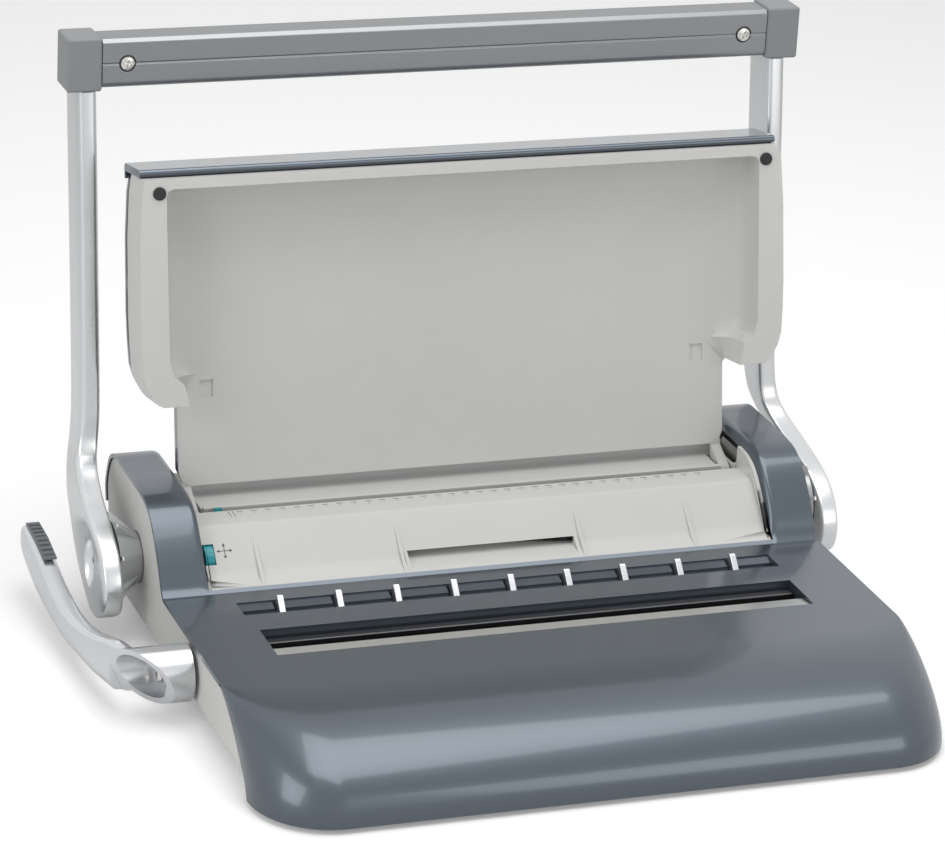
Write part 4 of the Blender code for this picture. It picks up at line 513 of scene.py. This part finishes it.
# %% Fascia
FACE_LINE = [(105.0, 72.4), (87.5, 72.4), (85.2, 71.6), (66.5, 53.0), (62.4, 49.75), (54.8, 46.5)]


def offset_line(points, distance):
    """Shift an open line to the right of its run."""
    path = np.asarray(points, float)
    runs = np.diff(path, axis=0)
    runs /= np.linalg.norm(runs, axis=1)[:, None]
    normals = np.stack((runs[:, 1], -runs[:, 0]), 1)
    before, after = np.vstack((normals[:1], normals)), np.vstack((normals, normals[-1:]))
    spread = 1 + (before * after).sum(1)
    return [tuple(point) for point in path + distance * (before + after) / spread[:, None]]


def face_y(z):
    """The fascia's sloping face at a height."""
    return 66.5 + (85.2 - 66.5) * (z - 53.0) / (71.6 - 53.0)


RIBS = (-137.9, -54.2, 54.2, 122.1)
WHEEL = Vector((0, face_y(60) + 8.5 * 0.7052, 60 - 8.5 * 0.709))


def make_fascia():
    bm = bmesh.new()
    slab(bm, FACE_LINE + offset_line(FACE_LINE, -2.2)[::-1], -168.2, 168.2)
    fascia = to_object("fascia_panel", bm)
    extra = bmesh.new()
    lowered = [tuple(p) for p in offset_line([spline(SHOULDER, t / 60) for t in range(61)], -4.5)]
    lowered = [p for p in lowered if 54.8 < p[0] < 109.4]
    ends = [(109.4, lowered[0][1])] + lowered + [(54.8, 45.4), (66.5, 51.9), (85.2, 70.5), (109.4, 71.3)]
    for side in (-1, 1):
        slab(extra, ends, side * 169.7, side * 167.5)
    for x in RIBS:
        crest = offset_line([(85.2, 71.6), (66.5, 53.0), (62.4, 49.75), (54.8, 46.5)], 1.7)
        rib = [(86.4, 71.9)] + crest[1:3] + [(54.8, 46.5), (54.8, 45.4), (66.5, 50.8), (85.2, 70.2)]
        slab(extra, rib, x - 0.9, x + 0.9)
    pocket = [(face_y(56.5) + 0.6, 56.5), (78.3, 56.5), (78.3, 49.0), (58.8, 45.4), (56.8, 46.5)]
    slab(extra, pocket, -52.5, 52.5)
    carve(fascia, extra, "UNION", overlaps=True)
    cuts = bmesh.new()
    slab(cuts, [(44.8, 54.5), (76.3, 54.5), (76.3, 51.0), (57.8, 47.9), (44.8, 47.9)], -50.5, 50.5)
    rod(cuts, (-168.2, WHEEL.y, WHEEL.z), (-161.8, WHEEL.y, WHEEL.z), 10.6)
    carve(fascia, cuts)
    return dress(fascia, "base", BEIGE, ["fascia"], 0.5, 3, 30, 28)


make_fascia()

# %% [markdown]
# The printed scale has one short stroke over each punch pin and a number under every second one. Strokes are
# thin blocks set 0.05 mm proud of the panel. The numbers are text turned into a mesh.

# %% Printed scale and arrows
PINS = [8.4667 * (index - 16.5) for index in range(34)]


def text_mesh(words, size):
    """A flat word as a bmesh in millimetres, centred on the origin."""
    curve = bpy.data.curves.new("word", "FONT")
    curve.body, curve.size, curve.align_x, curve.align_y = words, size, "CENTER", "CENTER"
    holder = bpy.data.objects.new("word", curve)
    bpy.context.scene.collection.objects.link(holder)
    bpy.context.view_layer.update()
    mesh = bpy.data.meshes.new_from_object(holder.evaluated_get(bpy.context.evaluated_depsgraph_get()))
    bpy.data.objects.remove(holder, do_unlink=True)
    return mesh


def make_scale():
    bm = bmesh.new()
    for x in PINS:
        block(bm, (x - 1.9, 101.9, 72.4), (x + 1.9, 102.45, 72.45))
    for number, x in enumerate(PINS):
        mesh = text_mesh(str(number + 1), 1.9)
        before = set(bm.verts)
        bm.from_mesh(mesh)
        fresh = [vert for vert in bm.verts if vert not in before]
        bmesh.ops.translate(bm, vec=(x, 99.6, 72.44), verts=fresh)
    for x in (PINS[0] - 6.5, PINS[0] - 4.0):
        block(bm, (x, 96.0, 72.4), (x + 0.35, 104.0, 72.45))
    scale = to_object("printed_scale", bm)
    return dress(scale, "base", INK, edge=0)


def make_arrows():
    bm = bmesh.new()
    slope = math.atan2(71.6 - 53.0, 85.2 - 66.5)
    block(bm, (-3.4, -0.2, 0), (3.4, 0.2, 0.06))
    block(bm, (-0.2, -3.4, 0.01), (0.2, 3.4, 0.05))
    for angle in range(0, 360, 90):
        turn = Matrix.Rotation(math.radians(angle), 4, "Z")
        head = push(bm, [(3.0, -1.0, 0), (4.6, 0, 0), (3.0, 1.0, 0)], (0, 0, 0.055))
        bmesh.ops.transform(bm, matrix=turn, verts=head)
    place = Matrix.Translation((-156.0, face_y(61.2), 61.2)) @ Matrix.Rotation(slope, 4, "X")
    bmesh.ops.transform(bm, matrix=place @ Matrix.Translation((0, 0, 0.01)), verts=bm.verts[:])
    arrows = to_object("guide_arrows", bm)
    return dress(arrows, "base", INK, edge=0)


make_scale()
make_arrows()

# %% [markdown]
# The teal wheel moves the edge guide. Its rim has flats for the thumb, so it is a drum of few sides with
# rounded edges. The guide's small tab shows at the left end of the throat.

# %% Edge guide and wheel
def make_wheel():
    bm = bmesh.new()
    rod(bm, (-167.6, WHEEL.y, WHEEL.z), (-162.4, WHEEL.y, WHEEL.z), 9.95, sides=20)
    wheel = to_object("thumb_wheel", bm)
    core = bmesh.new()
    rod(core, (-168.2, WHEEL.y, WHEEL.z), (-133.5, WHEEL.y, WHEEL.z), 2.2, sides=24)
    carve(wheel, core, "UNION")
    return dress(wheel, "wheel", TEAL, ["guide_wheel"], 0.5, 3, 15, 12)


def make_guide():
    bm = bmesh.new()
    y, z = WHEEL.y, WHEEL.z
    slab(bm, [(y - 2.2, z - 4.4), (y + 4.4, z - 4.4), (y + 4.4, z + 2.2), (91.8, 66.5), (107.5, 66.5), (107.5, 69.0),
              (89.2, 69.0), (y - 2.2, z + 4.4)], -153.0, -148.5)
    guide = to_object("guide_arm", bm)
    blade = bmesh.new()
    block(blade, (-153.0, -0.7, -25.8), (-148.5, 0.7, 1.15))
    carve(guide, blade, "UNION", PAPER)
    hole = bmesh.new()
    rod(hole, (-163, y, z), (-138, y, z), 2.5, sides=24)
    carve(guide, hole)
    return dress(guide, "guide", TEAL, ["edge_guide"], 0.25)


make_wheel()
make_guide()

# %% [markdown]
# ## The side covers
# Under the hood's rim sits a pale cover on each side, dished around the handle's hub. Its outline follows the
# hood's side profile, drawn in by the thickness of the wall.

# %% Side covers
def side_rim(inset, low):
    """The side cover's outline under the hood's rim."""
    rim = [tuple(hood_point(t / 60, 1.0)) for t in range(61)]
    snug = offset_line(rim, -(2.8 + inset))
    pulled = [(y, z) if y > -34 else (y + 2.5, z) for y, z in snug]
    limit = min(y for y, z in pulled if z > low + inset)
    line = [(max(y, limit + 0.3), max(z, low + inset + 0.3 * (61 - i) / 61)) for i, (y, z) in enumerate(pulled)]
    front, rear = line[-1][0], line[0][0]
    return line + [(front + (rear - front) * share, low + inset) for share in (0.02, 0.25, 0.5, 0.75, 0.98)]


def make_side_cover(side, word):
    bm = bmesh.new()
    sections = []
    for turned in (0, 12, 24, 36, 48, 60, 70, 80, 90):
        x = side * (186.1 + 10 * math.sin(math.radians(turned)))
        low = 6 + 10 * (1 - math.cos(math.radians(turned)))
        sections.append([(x, y, z) for y, z in side_rim(0.0, low)])
    rings = []
    for section in sections:
        verts = [bm.verts.new(point) for point in section]
        rings.append([bm.edges.new((verts[i], verts[(i + 1) % len(verts)])) for i in range(len(verts))])
    for first, second in zip(rings, rings[1:]):
        bmesh.ops.bridge_loops(bm, edges=first + second)
    for ring in (rings[0], rings[-1]):
        bmesh.ops.edgeloop_fill(bm, edges=ring)
    cover = to_object(f"side_panel_{word}", bm)
    hollow = bmesh.new()
    slab(hollow, side_rim(2.5, 11.0), side * 176.0, side * 192.4)
    carve(cover, hollow)
    holes = bmesh.new()
    rod(holes, (side * 176, 112, 46), (side * 206, 112, 46), 5.3)
    rod(holes, (side * 194.0, 112, 46), (side * 206, 112, 46), 15.0)
    if side < 0:
        rod(holes, (-176, -5, 27), (-206, -5, 27), 5.3)
    carve(cover, holes, overlaps=True)
    return dress(cover, "base", BEIGE, [f"side_cover_{word}"], 0.6)


make_side_cover(-1, "left")
make_side_cover(1, "right")

# %% [markdown]
# ## The handle
# Each arm is a cast channel that swells into a round paddle over the pivot. Its sections change all the way
# down, so a table gives the front, the rear and the reach at each height, a spline smooths it, and a tube skin
# follows it with rounded-rectangle sections.

# %% Arms
ARM_TABLE = [(1.0, 0.79, 1.0, 0.0, 0.5), (0.83, 0.745, 0.96, 0.0, 0.5), (0.65, 0.705, 0.915, 0.0, 0.5),
             (0.48, 0.67, 0.873, 0.0, 0.46), (0.34, 0.645, 0.837, 0.03, 0.42), (0.27, 0.625, 0.80, 0.25, 0.36),
             (0.235, 0.56, 0.76, 0.55, 0.32), (0.205, 0.40, 0.70, 0.85, 0.28), (0.175, 0.21, 0.655, 1.0, 0.26),
             (0.14, 0.085, 0.61, 1.0, 0.26), (0.10, 0.03, 0.555, 1.0, 0.26), (0.06, 0.02, 0.475, 1.0, 0.26),
             (0.025, 0.05, 0.37, 1.0, 0.3), (0.0, 0.13, 0.26, 1.0, 0.34)]


def rounded(angle, power):
    """A point of a unit rounded square."""
    c, s = math.cos(angle), math.sin(angle)
    return math.copysign(abs(c) ** power, c), math.copysign(abs(s) ** power, s)


def make_arm(side, word):
    def rule(u, v):
        height, front, rear, out, power = spline(ARM_TABLE, v)
        px, py = rounded(2 * math.pi * u, power)
        inner, outer = 203.15 + 8.3 * out, 215.5 + 8.4 * out
        y0, y1 = 76 + 143 * front, 76 + 143 * rear
        return (side * ((inner + outer) / 2 + (outer - inner) / 2 * px), (y0 + y1) / 2 + (y1 - y0) / 2 * py,
                18.0 + 278.5 * height)

    bm = bmesh.new()
    skin(bm, 56, 104, rule, closed=True)
    arm = to_object(f"arm_cast_{word}", bm)
    cuts = bmesh.new()
    for low, high in ((0.36, 0.58), (0.60, 0.80)):
        rings = []
        for share in (low, high):
            lean = (share - 0.34) / 0.66
            z, y0, y1 = 18 + 278.5 * share, 76 + 143 * (0.645 + 0.14 * lean) + 4, 76 + 143 * (0.837 + 0.15 * lean) - 4
            verts = [cuts.verts.new((side * x, y, z)) for x, y in ((193, y0), (211.5, y0), (211.5, y1), (193, y1))]
            rings.append([cuts.edges.new((verts[i], verts[(i + 1) % 4])) for i in range(4)])
            cuts.faces.new(verts)
        bmesh.ops.bridge_loops(cuts, edges=rings[0] + rings[1])
    rod(cuts, (side * 200, 112, 46), (side * 236, 112, 46), 2.3, sides=24)
    dish = bmesh.ops.create_uvsphere(cuts, u_segments=48, v_segments=24, radius=1.0)["verts"]
    bmesh.ops.scale(cuts, vec=(7, 11, 16), verts=dish)
    bmesh.ops.translate(cuts, vec=(side * 225.4, 112, 46), verts=dish)
    carve(arm, cuts, overlaps=True)
    return dress(arm, "handle", SILVER, [f"arm_{word}"], 0.6, 3, 45, 40)


make_arm(-1, "left")
make_arm(1, "right")

# %% [markdown]
# Between the side cover and the paddle sits a ribbed cone. It is a short cone with eight fins, each drawn once
# and turned round the pivot.

# %% Hubs
def make_hub(side, word):
    bm = bmesh.new()
    rod(bm, (side * 194.3, 112, 46), (side * 211.1, 112, 46), 13.5, 22.0, 64)
    hub = to_object(f"hub_cone_{word}", bm)
    fins = bmesh.new()
    shape = [(197.7, 4), (197.7, 15), (210.1, 26.5), (211.1, 26.5), (211.1, 4)]
    for index in range(8):
        fin = push(fins, [(side * x, -1.1, r) for x, r in shape], (0, 2.2, 0))
        spin = Matrix.Translation(HANDLE_AXIS) @ Matrix.Rotation(2 * math.pi * (index + 0.5) / 8, 4, "X")
        bmesh.ops.transform(fins, matrix=spin, verts=fin)
    carve(hub, fins, "UNION", overlaps=True)
    bore = bmesh.new()
    rod(bore, (side * 184, 112, 46), (side * 204.6, 112, 46), 5.3)
    rod(bore, (side * 194.3, 112, 46), (side * 221, 112, 46), 2.3)
    carve(hub, bore, overlaps=True)
    return dress(hub, "handle", HUB_SILVER, [f"hub_{word}"], 0.5, 3, 35, 30)


make_hub(-1, "left")
make_hub(1, "right")

# %% [markdown]
# The bar is a drawn aluminium section with a fine groove along its front. Each end fits a moulded cap, which
# also seats the arm.

# %% Bar and caps
def arc(y, z, radius, start, end, steps=6):
    """Points of a quarter round in the (y, z) plane."""
    return [(y + radius * math.cos(math.radians(a)), z + radius * math.sin(math.radians(a)))
            for a in np.linspace(start, end, steps)]


def make_bar():
    bm = bmesh.new()
    line = [(189, 324.4), (191.0, 326.5)] + arc(207, 322.5, 4, 90, 0) + arc(207, 302, 4, 0, -90)
    line += arc(193.2, 302.2, 4.2, -90, -180) + [(189, 311.5), (189.6, 311.9), (189.6, 312.6), (189, 313.0)]
    slab(bm, line, -201.1, 201.1)
    bar = to_object("bar_section", bm)
    cuts = bmesh.new()
    block(cuts, (-211, 191.2, 300.2), (211, 208.8, 324.3))
    for side in (-1, 1):
        rod(cuts, (side * 186.6, 179, 312.25), (side * 186.6, 193.4, 312.25), 2.3)
        rod(cuts, (side * 186.6, 188.4, 312.25), (side * 186.6, 190.54, 312.25), 5.1, 4.5)
    carve(bar, cuts, overlaps=True)
    return dress(bar, "handle", ANODISED, ["grip_bar"], 0.35, 2, 30, 25)


def make_cap(side, word):
    bm = bmesh.new()
    block(bm, (side * 201.4, 187.8, 296.8), (side * 221.5, 212.2, 327.7))
    bmesh.ops.recalc_face_normals(bm, faces=bm.faces[:])
    bmesh.ops.bevel(bm, geom=bm.edges[:], affect="EDGES", offset=1.6, segments=4, profile=0.5, material=-1)
    cap = to_object(f"cap_block_{word}", bm)
    tenon = bmesh.new()
    block(tenon, (side * 181.1, 191.5, 300.5), (side * 205.5, 208.5, 324.0))
    carve(cap, tenon, "UNION")
    hole = bmesh.new()
    rod(hole, (side * 186.6, 177, 312.25), (side * 186.6, 210, 312.25), 2.3, sides=24)
    carve(cap, hole)
    return dress(cap, "handle", CAP_GREY, [f"end_cap_{word}"], 0.3)


make_bar()
make_cap(-1, "left")
make_cap(1, "right")

# %% [markdown]
# Cross-recess screws hold the bar, the paddles and the lever. A head is a turned profile; the cross is cut
# with two tapering blocks.

# %% Screws
def make_screw(name, centre, direction, body, node, length):
    direction = Vector(direction)
    bm = bmesh.new()
    lathe(bm, [(length, 0), (length, 2), (2.2, 2), (2.2, 4.1), (1.4, 4.15), (0.7, 3.9), (0.25, 3.0), (0, 1.5), (0, 0)],
          centre, direction)
    made = to_object(name, bm)
    cross = bmesh.new()
    turn = Matrix.Translation(centre) @ direction.to_track_quat("Z", "Y").to_matrix().to_4x4()
    for angle in (20, 110):
        arm = block(cross, (-2.3, -0.5, -1), (2.3, 0.5, 1.3))
        bmesh.ops.transform(cross, matrix=turn @ Matrix.Rotation(math.radians(angle), 4, "Z"), verts=arm)
    carve(made, cross, overlaps=True)
    return dress(made, body, SCREW_STEEL, [node], 0.12, 2)


for side, word in ((-1, "left"), (1, "right")):
    make_screw(f"bar_fixing_{word}", (side * 186.6, 188.04, 312.25), (0, 1, 0), "handle", f"bar_screw_{word}", 13.2)
    make_screw(f"hub_fixing_{word}", (side * 221.5, 112, 46), (-side, 0, 0), "handle", f"hub_screw_{word}", 16.0)
make_screw("closer_fixing", (-216.0, -5, 27), (1, 0, 0), "closer", "closer_screw", 5.3)

# %% [markdown]
# ## The closer lever
# The lever is curved like a banana and thin at its tip. It grows out of a drum whose outer face is cut off
# aslant, with a round recess for the screw.

# %% Lever
LEVER_TABLE = [(0.02, 0.06, 0.97, 0.42, 0.78), (0.12, 0.05, 0.88, 0.48, 0.90), (0.22, 0.02, 0.72, 0.56, 1.0),
               (0.34, 0.0, 0.56, 0.64, 1.06), (0.48, -0.02, 0.50, 0.70, 1.12), (0.62, 0.02, 0.62, 0.74, 1.16),
               (0.76, 0.10, 0.82, 0.75, 1.18), (0.88, 0.25, 0.93, 0.75, 1.18), (0.97, 0.42, 0.95, 0.77, 1.16),
               (1.0, 0.55, 0.88, 0.82, 1.10)]


def make_lever():
    def rule(u, v):
        run, low, high, inner, outer = spline(LEVER_TABLE, v)
        px, pz = rounded(2 * math.pi * u, 0.6)
        z0, z1 = 11 + 32 * low, 11 + 32 * high
        x0, x1 = -212 - 30 * outer, -212 - 30 * inner
        return (x0 + x1) / 2 + (x1 - x0) / 2 * px, -5 + 191 * run, (z0 + z1) / 2 + (z1 - z0) / 2 * pz

    bm = bmesh.new()
    skin(bm, 48, 72, rule, closed=True)
    lever = to_object("lever_arm", bm)
    barrel = bmesh.new()
    rod(barrel, (-198.5, -5, 27), (-240, -5, 27), 15.98, sides=72)
    carve(lever, barrel, "UNION")
    slant = bmesh.new()
    cube = bmesh.ops.create_cube(slant, size=64)["verts"]
    bmesh.ops.translate(slant, vec=(32, 0, 0), verts=cube)
    turn = Vector((-1.0, -0.80, -0.42)).to_track_quat("X", "Z").to_matrix().to_4x4()
    bmesh.ops.transform(slant, matrix=Matrix.Translation((-224, -5, 27)) @ turn, verts=cube)
    everything = slant.verts[:] + slant.edges[:] + slant.faces[:]
    bmesh.ops.bisect_plane(slant, geom=everything, dist=0.001, plane_co=(0, 11.3, 0), plane_no=(0, 1, 0), clear_outer=True)
    bmesh.ops.holes_fill(slant, edges=[edge for edge in slant.edges if edge.is_boundary])
    carve(lever, slant)
    bores = bmesh.new()
    rod(bores, (-213.5, -5, 27), (-256, -5, 27), 12.5, sides=64)
    rod(bores, (-188.5, -5, 27), (-210.4, -5, 27), 5.3)
    rod(bores, (-198.5, -5, 27), (-218.5, -5, 27), 2.3, sides=24)
    carve(lever, bores, overlaps=True)
    return dress(lever, "closer", LEVER_SILVER, ["closer_lever"], 0.7, 3, 45, 40)


def make_pad():
    bm = bmesh.new()
    x0, x1 = -244.8, -236.0
    slab(bm, [(136.3, 37.9), (136.3, 39.2), (157.8, 43.0), (179.3, 43.6), (179.3, 42.0), (157.8, 41.6)], x0 + 0.6, x1 - 0.4)
    pad = to_object("grip_pad", bm)
    bars = bmesh.new()
    for index in range(8):
        y = 140.0 + index * 5.0
        z = 39.6 + 4.2 * math.sin(min(1.0, (y - 136.3) / 34.0) * math.pi / 2)
        rod(bars, (x0 + 1.4, y, z), (x1 - 1.2, y, z), 1.0, sides=24)
    carve(pad, bars, "UNION", overlaps=True)
    return dress(pad, "closer", GRIP_GREY, ["lever_pad"], 0.3)


make_lever()
make_pad()

# %% [markdown]
# ## The paper rest
# The rest is the machine's cover turned up: a pale inner tray with a coved pocket, and a painted outer shell
# with a bead along its top. The tray's outline is extruded, and the pocket is cut with a tool that narrows
# towards its floor.

# %% Tray of the paper rest
def rest_outline(shrink=0.0):
    """The rest's outline as (x, up), right half first."""
    ear, half, neck, low, top = 67 + shrink, 192.5 - shrink, 167 - shrink, 15 + shrink, 195.5 - shrink
    side = [(neck - 7, low), (neck - 2.1, low + 2.1), (neck, low + 7), (neck, ear - 2.8), (neck + 2.8, ear),
            (half - 10.5, ear), (half - 7.4, ear + 1.6), (half - 4.9, ear + 4.9), (half - 1.6, ear + 11),
            (half + 0.45, ear + 18.2), (half + 1.2, ear + 32), (half + 1.5, ear + 49), (half + 0.9, top - 35),
            (half - 0.6, top - 9.8), (half - 2.25, top)]
    return side + [(-x, up) for x, up in side[::-1]]


def bridged(bm, rings):
    """Bridge a row of closed rings and close both ends."""
    loops = []
    for points in rings:
        verts = [bm.verts.new(point) for point in points]
        loops.append([bm.edges.new((verts[i], verts[(i + 1) % len(verts)])) for i in range(len(verts))])
    for first, second in zip(loops, loops[1:]):
        bmesh.ops.bridge_loops(bm, edges=first + second)
    for loop in (loops[0], loops[-1]):
        bmesh.ops.edgeloop_fill(bm, edges=loop)


def make_tray():
    bm = bmesh.new()
    push(bm, [(x, -18, up) for x, up in rest_outline()], (0, 29, 0))
    tray = to_object("rest_tray", bm, REST)
    pocket = bmesh.new()
    rings = []
    for depth, shrink in ((-28, 0), (-6, 0), (0, 1.2), (3.5, 3.2), (6, 6.4), (8, 11), (9, 16)):
        wide, turned = 178 - shrink, 8.0
        side = [(177, -10), (177, 66.7), (166.7, 67), (wide - turned, 79.8), (wide - 2.4, 84), (wide, 92.6),
                (wide, 186 - shrink), (wide - 1.2, 188.8 - shrink), (wide - 4, 190 - shrink)]
        rings.append([(x, depth, up) for x, up in side + [(-x, up) for x, up in side[::-1]]])
    bridged(pocket, rings)
    carve(tray, pocket, frame_matrix=REST)
    lugs = bmesh.new()
    for side in (-1, 1):
        circle = [(6 * math.cos(math.radians(a)), 6 * math.sin(math.radians(a))) for a in range(-30, -241, -10)]
        slab(lugs, circle + [(9.3, 14.1), (9.3, 18), (10.7, 18), (10.7, 9)], side * 160, side * 166)
    carve(tray, lugs, "UNION", REST)
    bores = bmesh.new()
    for side in (-1, 1):
        rod(bores, (side * 150, 0, 0), (side * 176, 0, 0), 3.3, sides=32)
        rod(bores, (side * 182, -28, 188), (side * 182, -15.6, 188), 2.95, sides=32)
    carve(tray, bores, frame_matrix=REST)
    pads = bmesh.new()
    for side in (-1, 1):
        block(pads, (side * 146, 7.2, 66), (side * 154, 10.2, 76))
    carve(tray, pads, frame_matrix=REST)
    return dress(tray, "paper_rest", TRAY_BEIGE, ["lid_tray"], 1.0, 4, 40, 30)


# %% Painted shell of the paper rest
def make_shell():
    bm = bmesh.new()
    push(bm, [(x, 11.3, up) for x, up in rest_outline(1.0)], (0, 12.7, 0))
    shell = to_object("rest_shell", bm, REST)
    back = shell.modifiers.new("back", "BEVEL")
    back.width, back.segments, back.limit_method, back.angle_limit = 0.004, 5, "ANGLE", math.radians(60)
    bake(shell)
    hollow = bmesh.new()
    push(hollow, [(x, 1.3, up) for x, up in rest_outline(3.6)], (0, 20.7, 0))
    carve(shell, hollow, frame_matrix=REST)
    bead = bmesh.new()
    line = arc(-7.75, 198.05, 2.25, 90, 270, 12)
    line += [(21.6, 195.8), (21.6, 191.5), (23.6, 191.5), (23.6, 198.7), (21.6, 200.3)]
    slab(bead, line, -191, 191)
    carve(shell, bead, "UNION", REST)
    return dress(shell, "paper_rest", REST_PAINT, ["lid_shell"], 0.7, 3, 35, 30)


def make_bumper(side, word):
    bm = bmesh.new()
    profile = [(2.1, 0), (2.1, 2.6), (-0.3, 2.6), (-0.3, 3.75), (-0.9, 3.65), (-1.2, 3.2), (-1.2, 0)]
    lathe(bm, profile, (side * 182, -18, 188), (0, 1, 0), 48)
    bumper = to_object(f"rest_bumper_{word}", bm, REST)
    return dress(bumper, "paper_rest", RUBBER, [f"bumper_{word}"], 0)


make_tray()
make_shell()
make_bumper(-1, "left")
make_bumper(1, "right")

# %% [markdown]
# ## The closer's strip and jaw
# The closing slot shows a bright brushed strip in front and a dark jaw behind it. Both are plain bars with
# softened edges.

# %% Strip and jaw
def make_strip():
    bm = bmesh.new()
    slab(bm, [(-33.7, 36.0), (-33.7, 44.25), (-20.0, 43.0), (-20.0, 36.0)], -156.7, 156.7)
    return dress(to_object("closer_strip", bm), "base", STEEL, ["closer_anvil"], 0.5)


def make_jaw():
    bm = bmesh.new()
    block(bm, (-156.4, -8.0, 34.1), (156.4, -2.0, 40.8))
    return dress(to_object("jaw_bar", bm), "jaw", DARK_STEEL, ["closer_jaw"], 0.5)


make_strip()
make_jaw()

# %% [markdown]
# ## Finishes for the solids that stay
# The inner pieces keep their solid shapes. They only need a finish.

# %% Paint the remaining solids
KEPT = {"base_tray": GRIP_GREY, "rear_cover": BEIGE, "punch_frame": STEEL, "punch_comb": STEEL,
        "side_frame_left": STEEL, "side_frame_right": STEEL, "drive_shaft_left": DARK_STEEL,
        "drive_shaft_right": DARK_STEEL, "closer_shaft": DARK_STEEL, "lid_pin_left": STEEL, "lid_pin_right": STEEL,
        "foot_front_left": RUBBER, "foot_front_right": RUBBER, "foot_rear_left": RUBBER, "foot_rear_right": RUBBER,
        "chip_drawer": GRIP_GREY, "closer_bed": DARK_STEEL}
for name, paint in KEPT.items():
    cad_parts[name].data.materials.clear()
    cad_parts[name].data.materials.append(paint)
shown = [name for name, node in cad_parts.items() if not node.hide_render]
print("solids shown:", sorted(shown), "unpainted:", sorted(set(shown) - set(KEPT)))

# %% [markdown]
# ## Floor and light
# The machine stands on a pale floor in a bright studio. One wide lamp overhead gives the hood its long soft
# gloss, a second from the left lights the arms, and a weak third fills the front.

# %% Studio
def lamp(name, place, aim, size, power, height=None):
    data = bpy.data.lights.new(name, "AREA")
    data.shape, data.size, data.size_y, data.energy = "RECTANGLE", size, height or size, power
    made = bpy.data.objects.new(name, data)
    bpy.context.scene.collection.objects.link(made)
    made.location = place
    made.rotation_euler = (Vector(aim) - Vector(place)).to_track_quat("-Z", "Y").to_euler()
    return made


floor_mesh = bmesh.new()
bmesh.ops.create_grid(floor_mesh, x_segments=1, y_segments=1, size=6.0)
floor_data = bpy.data.meshes.new("floor")
floor_mesh.to_mesh(floor_data)
floor_mesh.free()
floor = bpy.data.objects.new("floor", floor_data)
bpy.context.scene.collection.objects.link(floor)
floor_paint = Finish("floor_paint", Roughness=0.8, Base_Color=(0.88, 0.88, 0.88, 1))
rays = floor_paint.tree.nodes.new("ShaderNodeLightPath")
seen = Wire(floor_paint.tree, rays.outputs["Is Camera Ray"])
floor_paint.shader.inputs["Emission Strength"].default_value = 0.22
floor_paint.feed(Emission_Color=floor_paint.blend(seen, (0, 0, 0), (1, 1, 1)))
floor_data.materials.append(floor_paint.material)

world = bpy.data.worlds.new("studio")
bpy.context.scene.world = world
world.use_nodes = True
sky = world.node_tree.nodes["Background"]
path = world.node_tree.nodes.new("ShaderNodeLightPath")
camera_ray = Wire(world.node_tree, path.outputs["Is Camera Ray"])
glossy_ray = Wire(world.node_tree, path.outputs["Is Glossy Ray"])
clear_ray = Wire(world.node_tree, path.outputs["Is Transmission Ray"])
direct = camera_ray + glossy_ray + clear_ray
strength = direct.combine("MINIMUM", direct, 1.0) * 0.55 + 0.45
world.node_tree.links.new(strength.socket, sky.inputs["Strength"])
sky.inputs["Color"].default_value = (1, 1, 1, 1)
lamp("overhead", (0.15, -0.1, 1.7), (0, 0, 0.1), 1.6, 16, 1.1)
lamp("left", (-1.7, -0.7, 0.9), (0, 0, 0.12), 0.9, 9, 1.2)
lamp("front", (0.9, -1.8, 0.7), (0, 0, 0.1), 0.8, 4)
bpy.context.scene.view_settings.view_transform = "Standard"
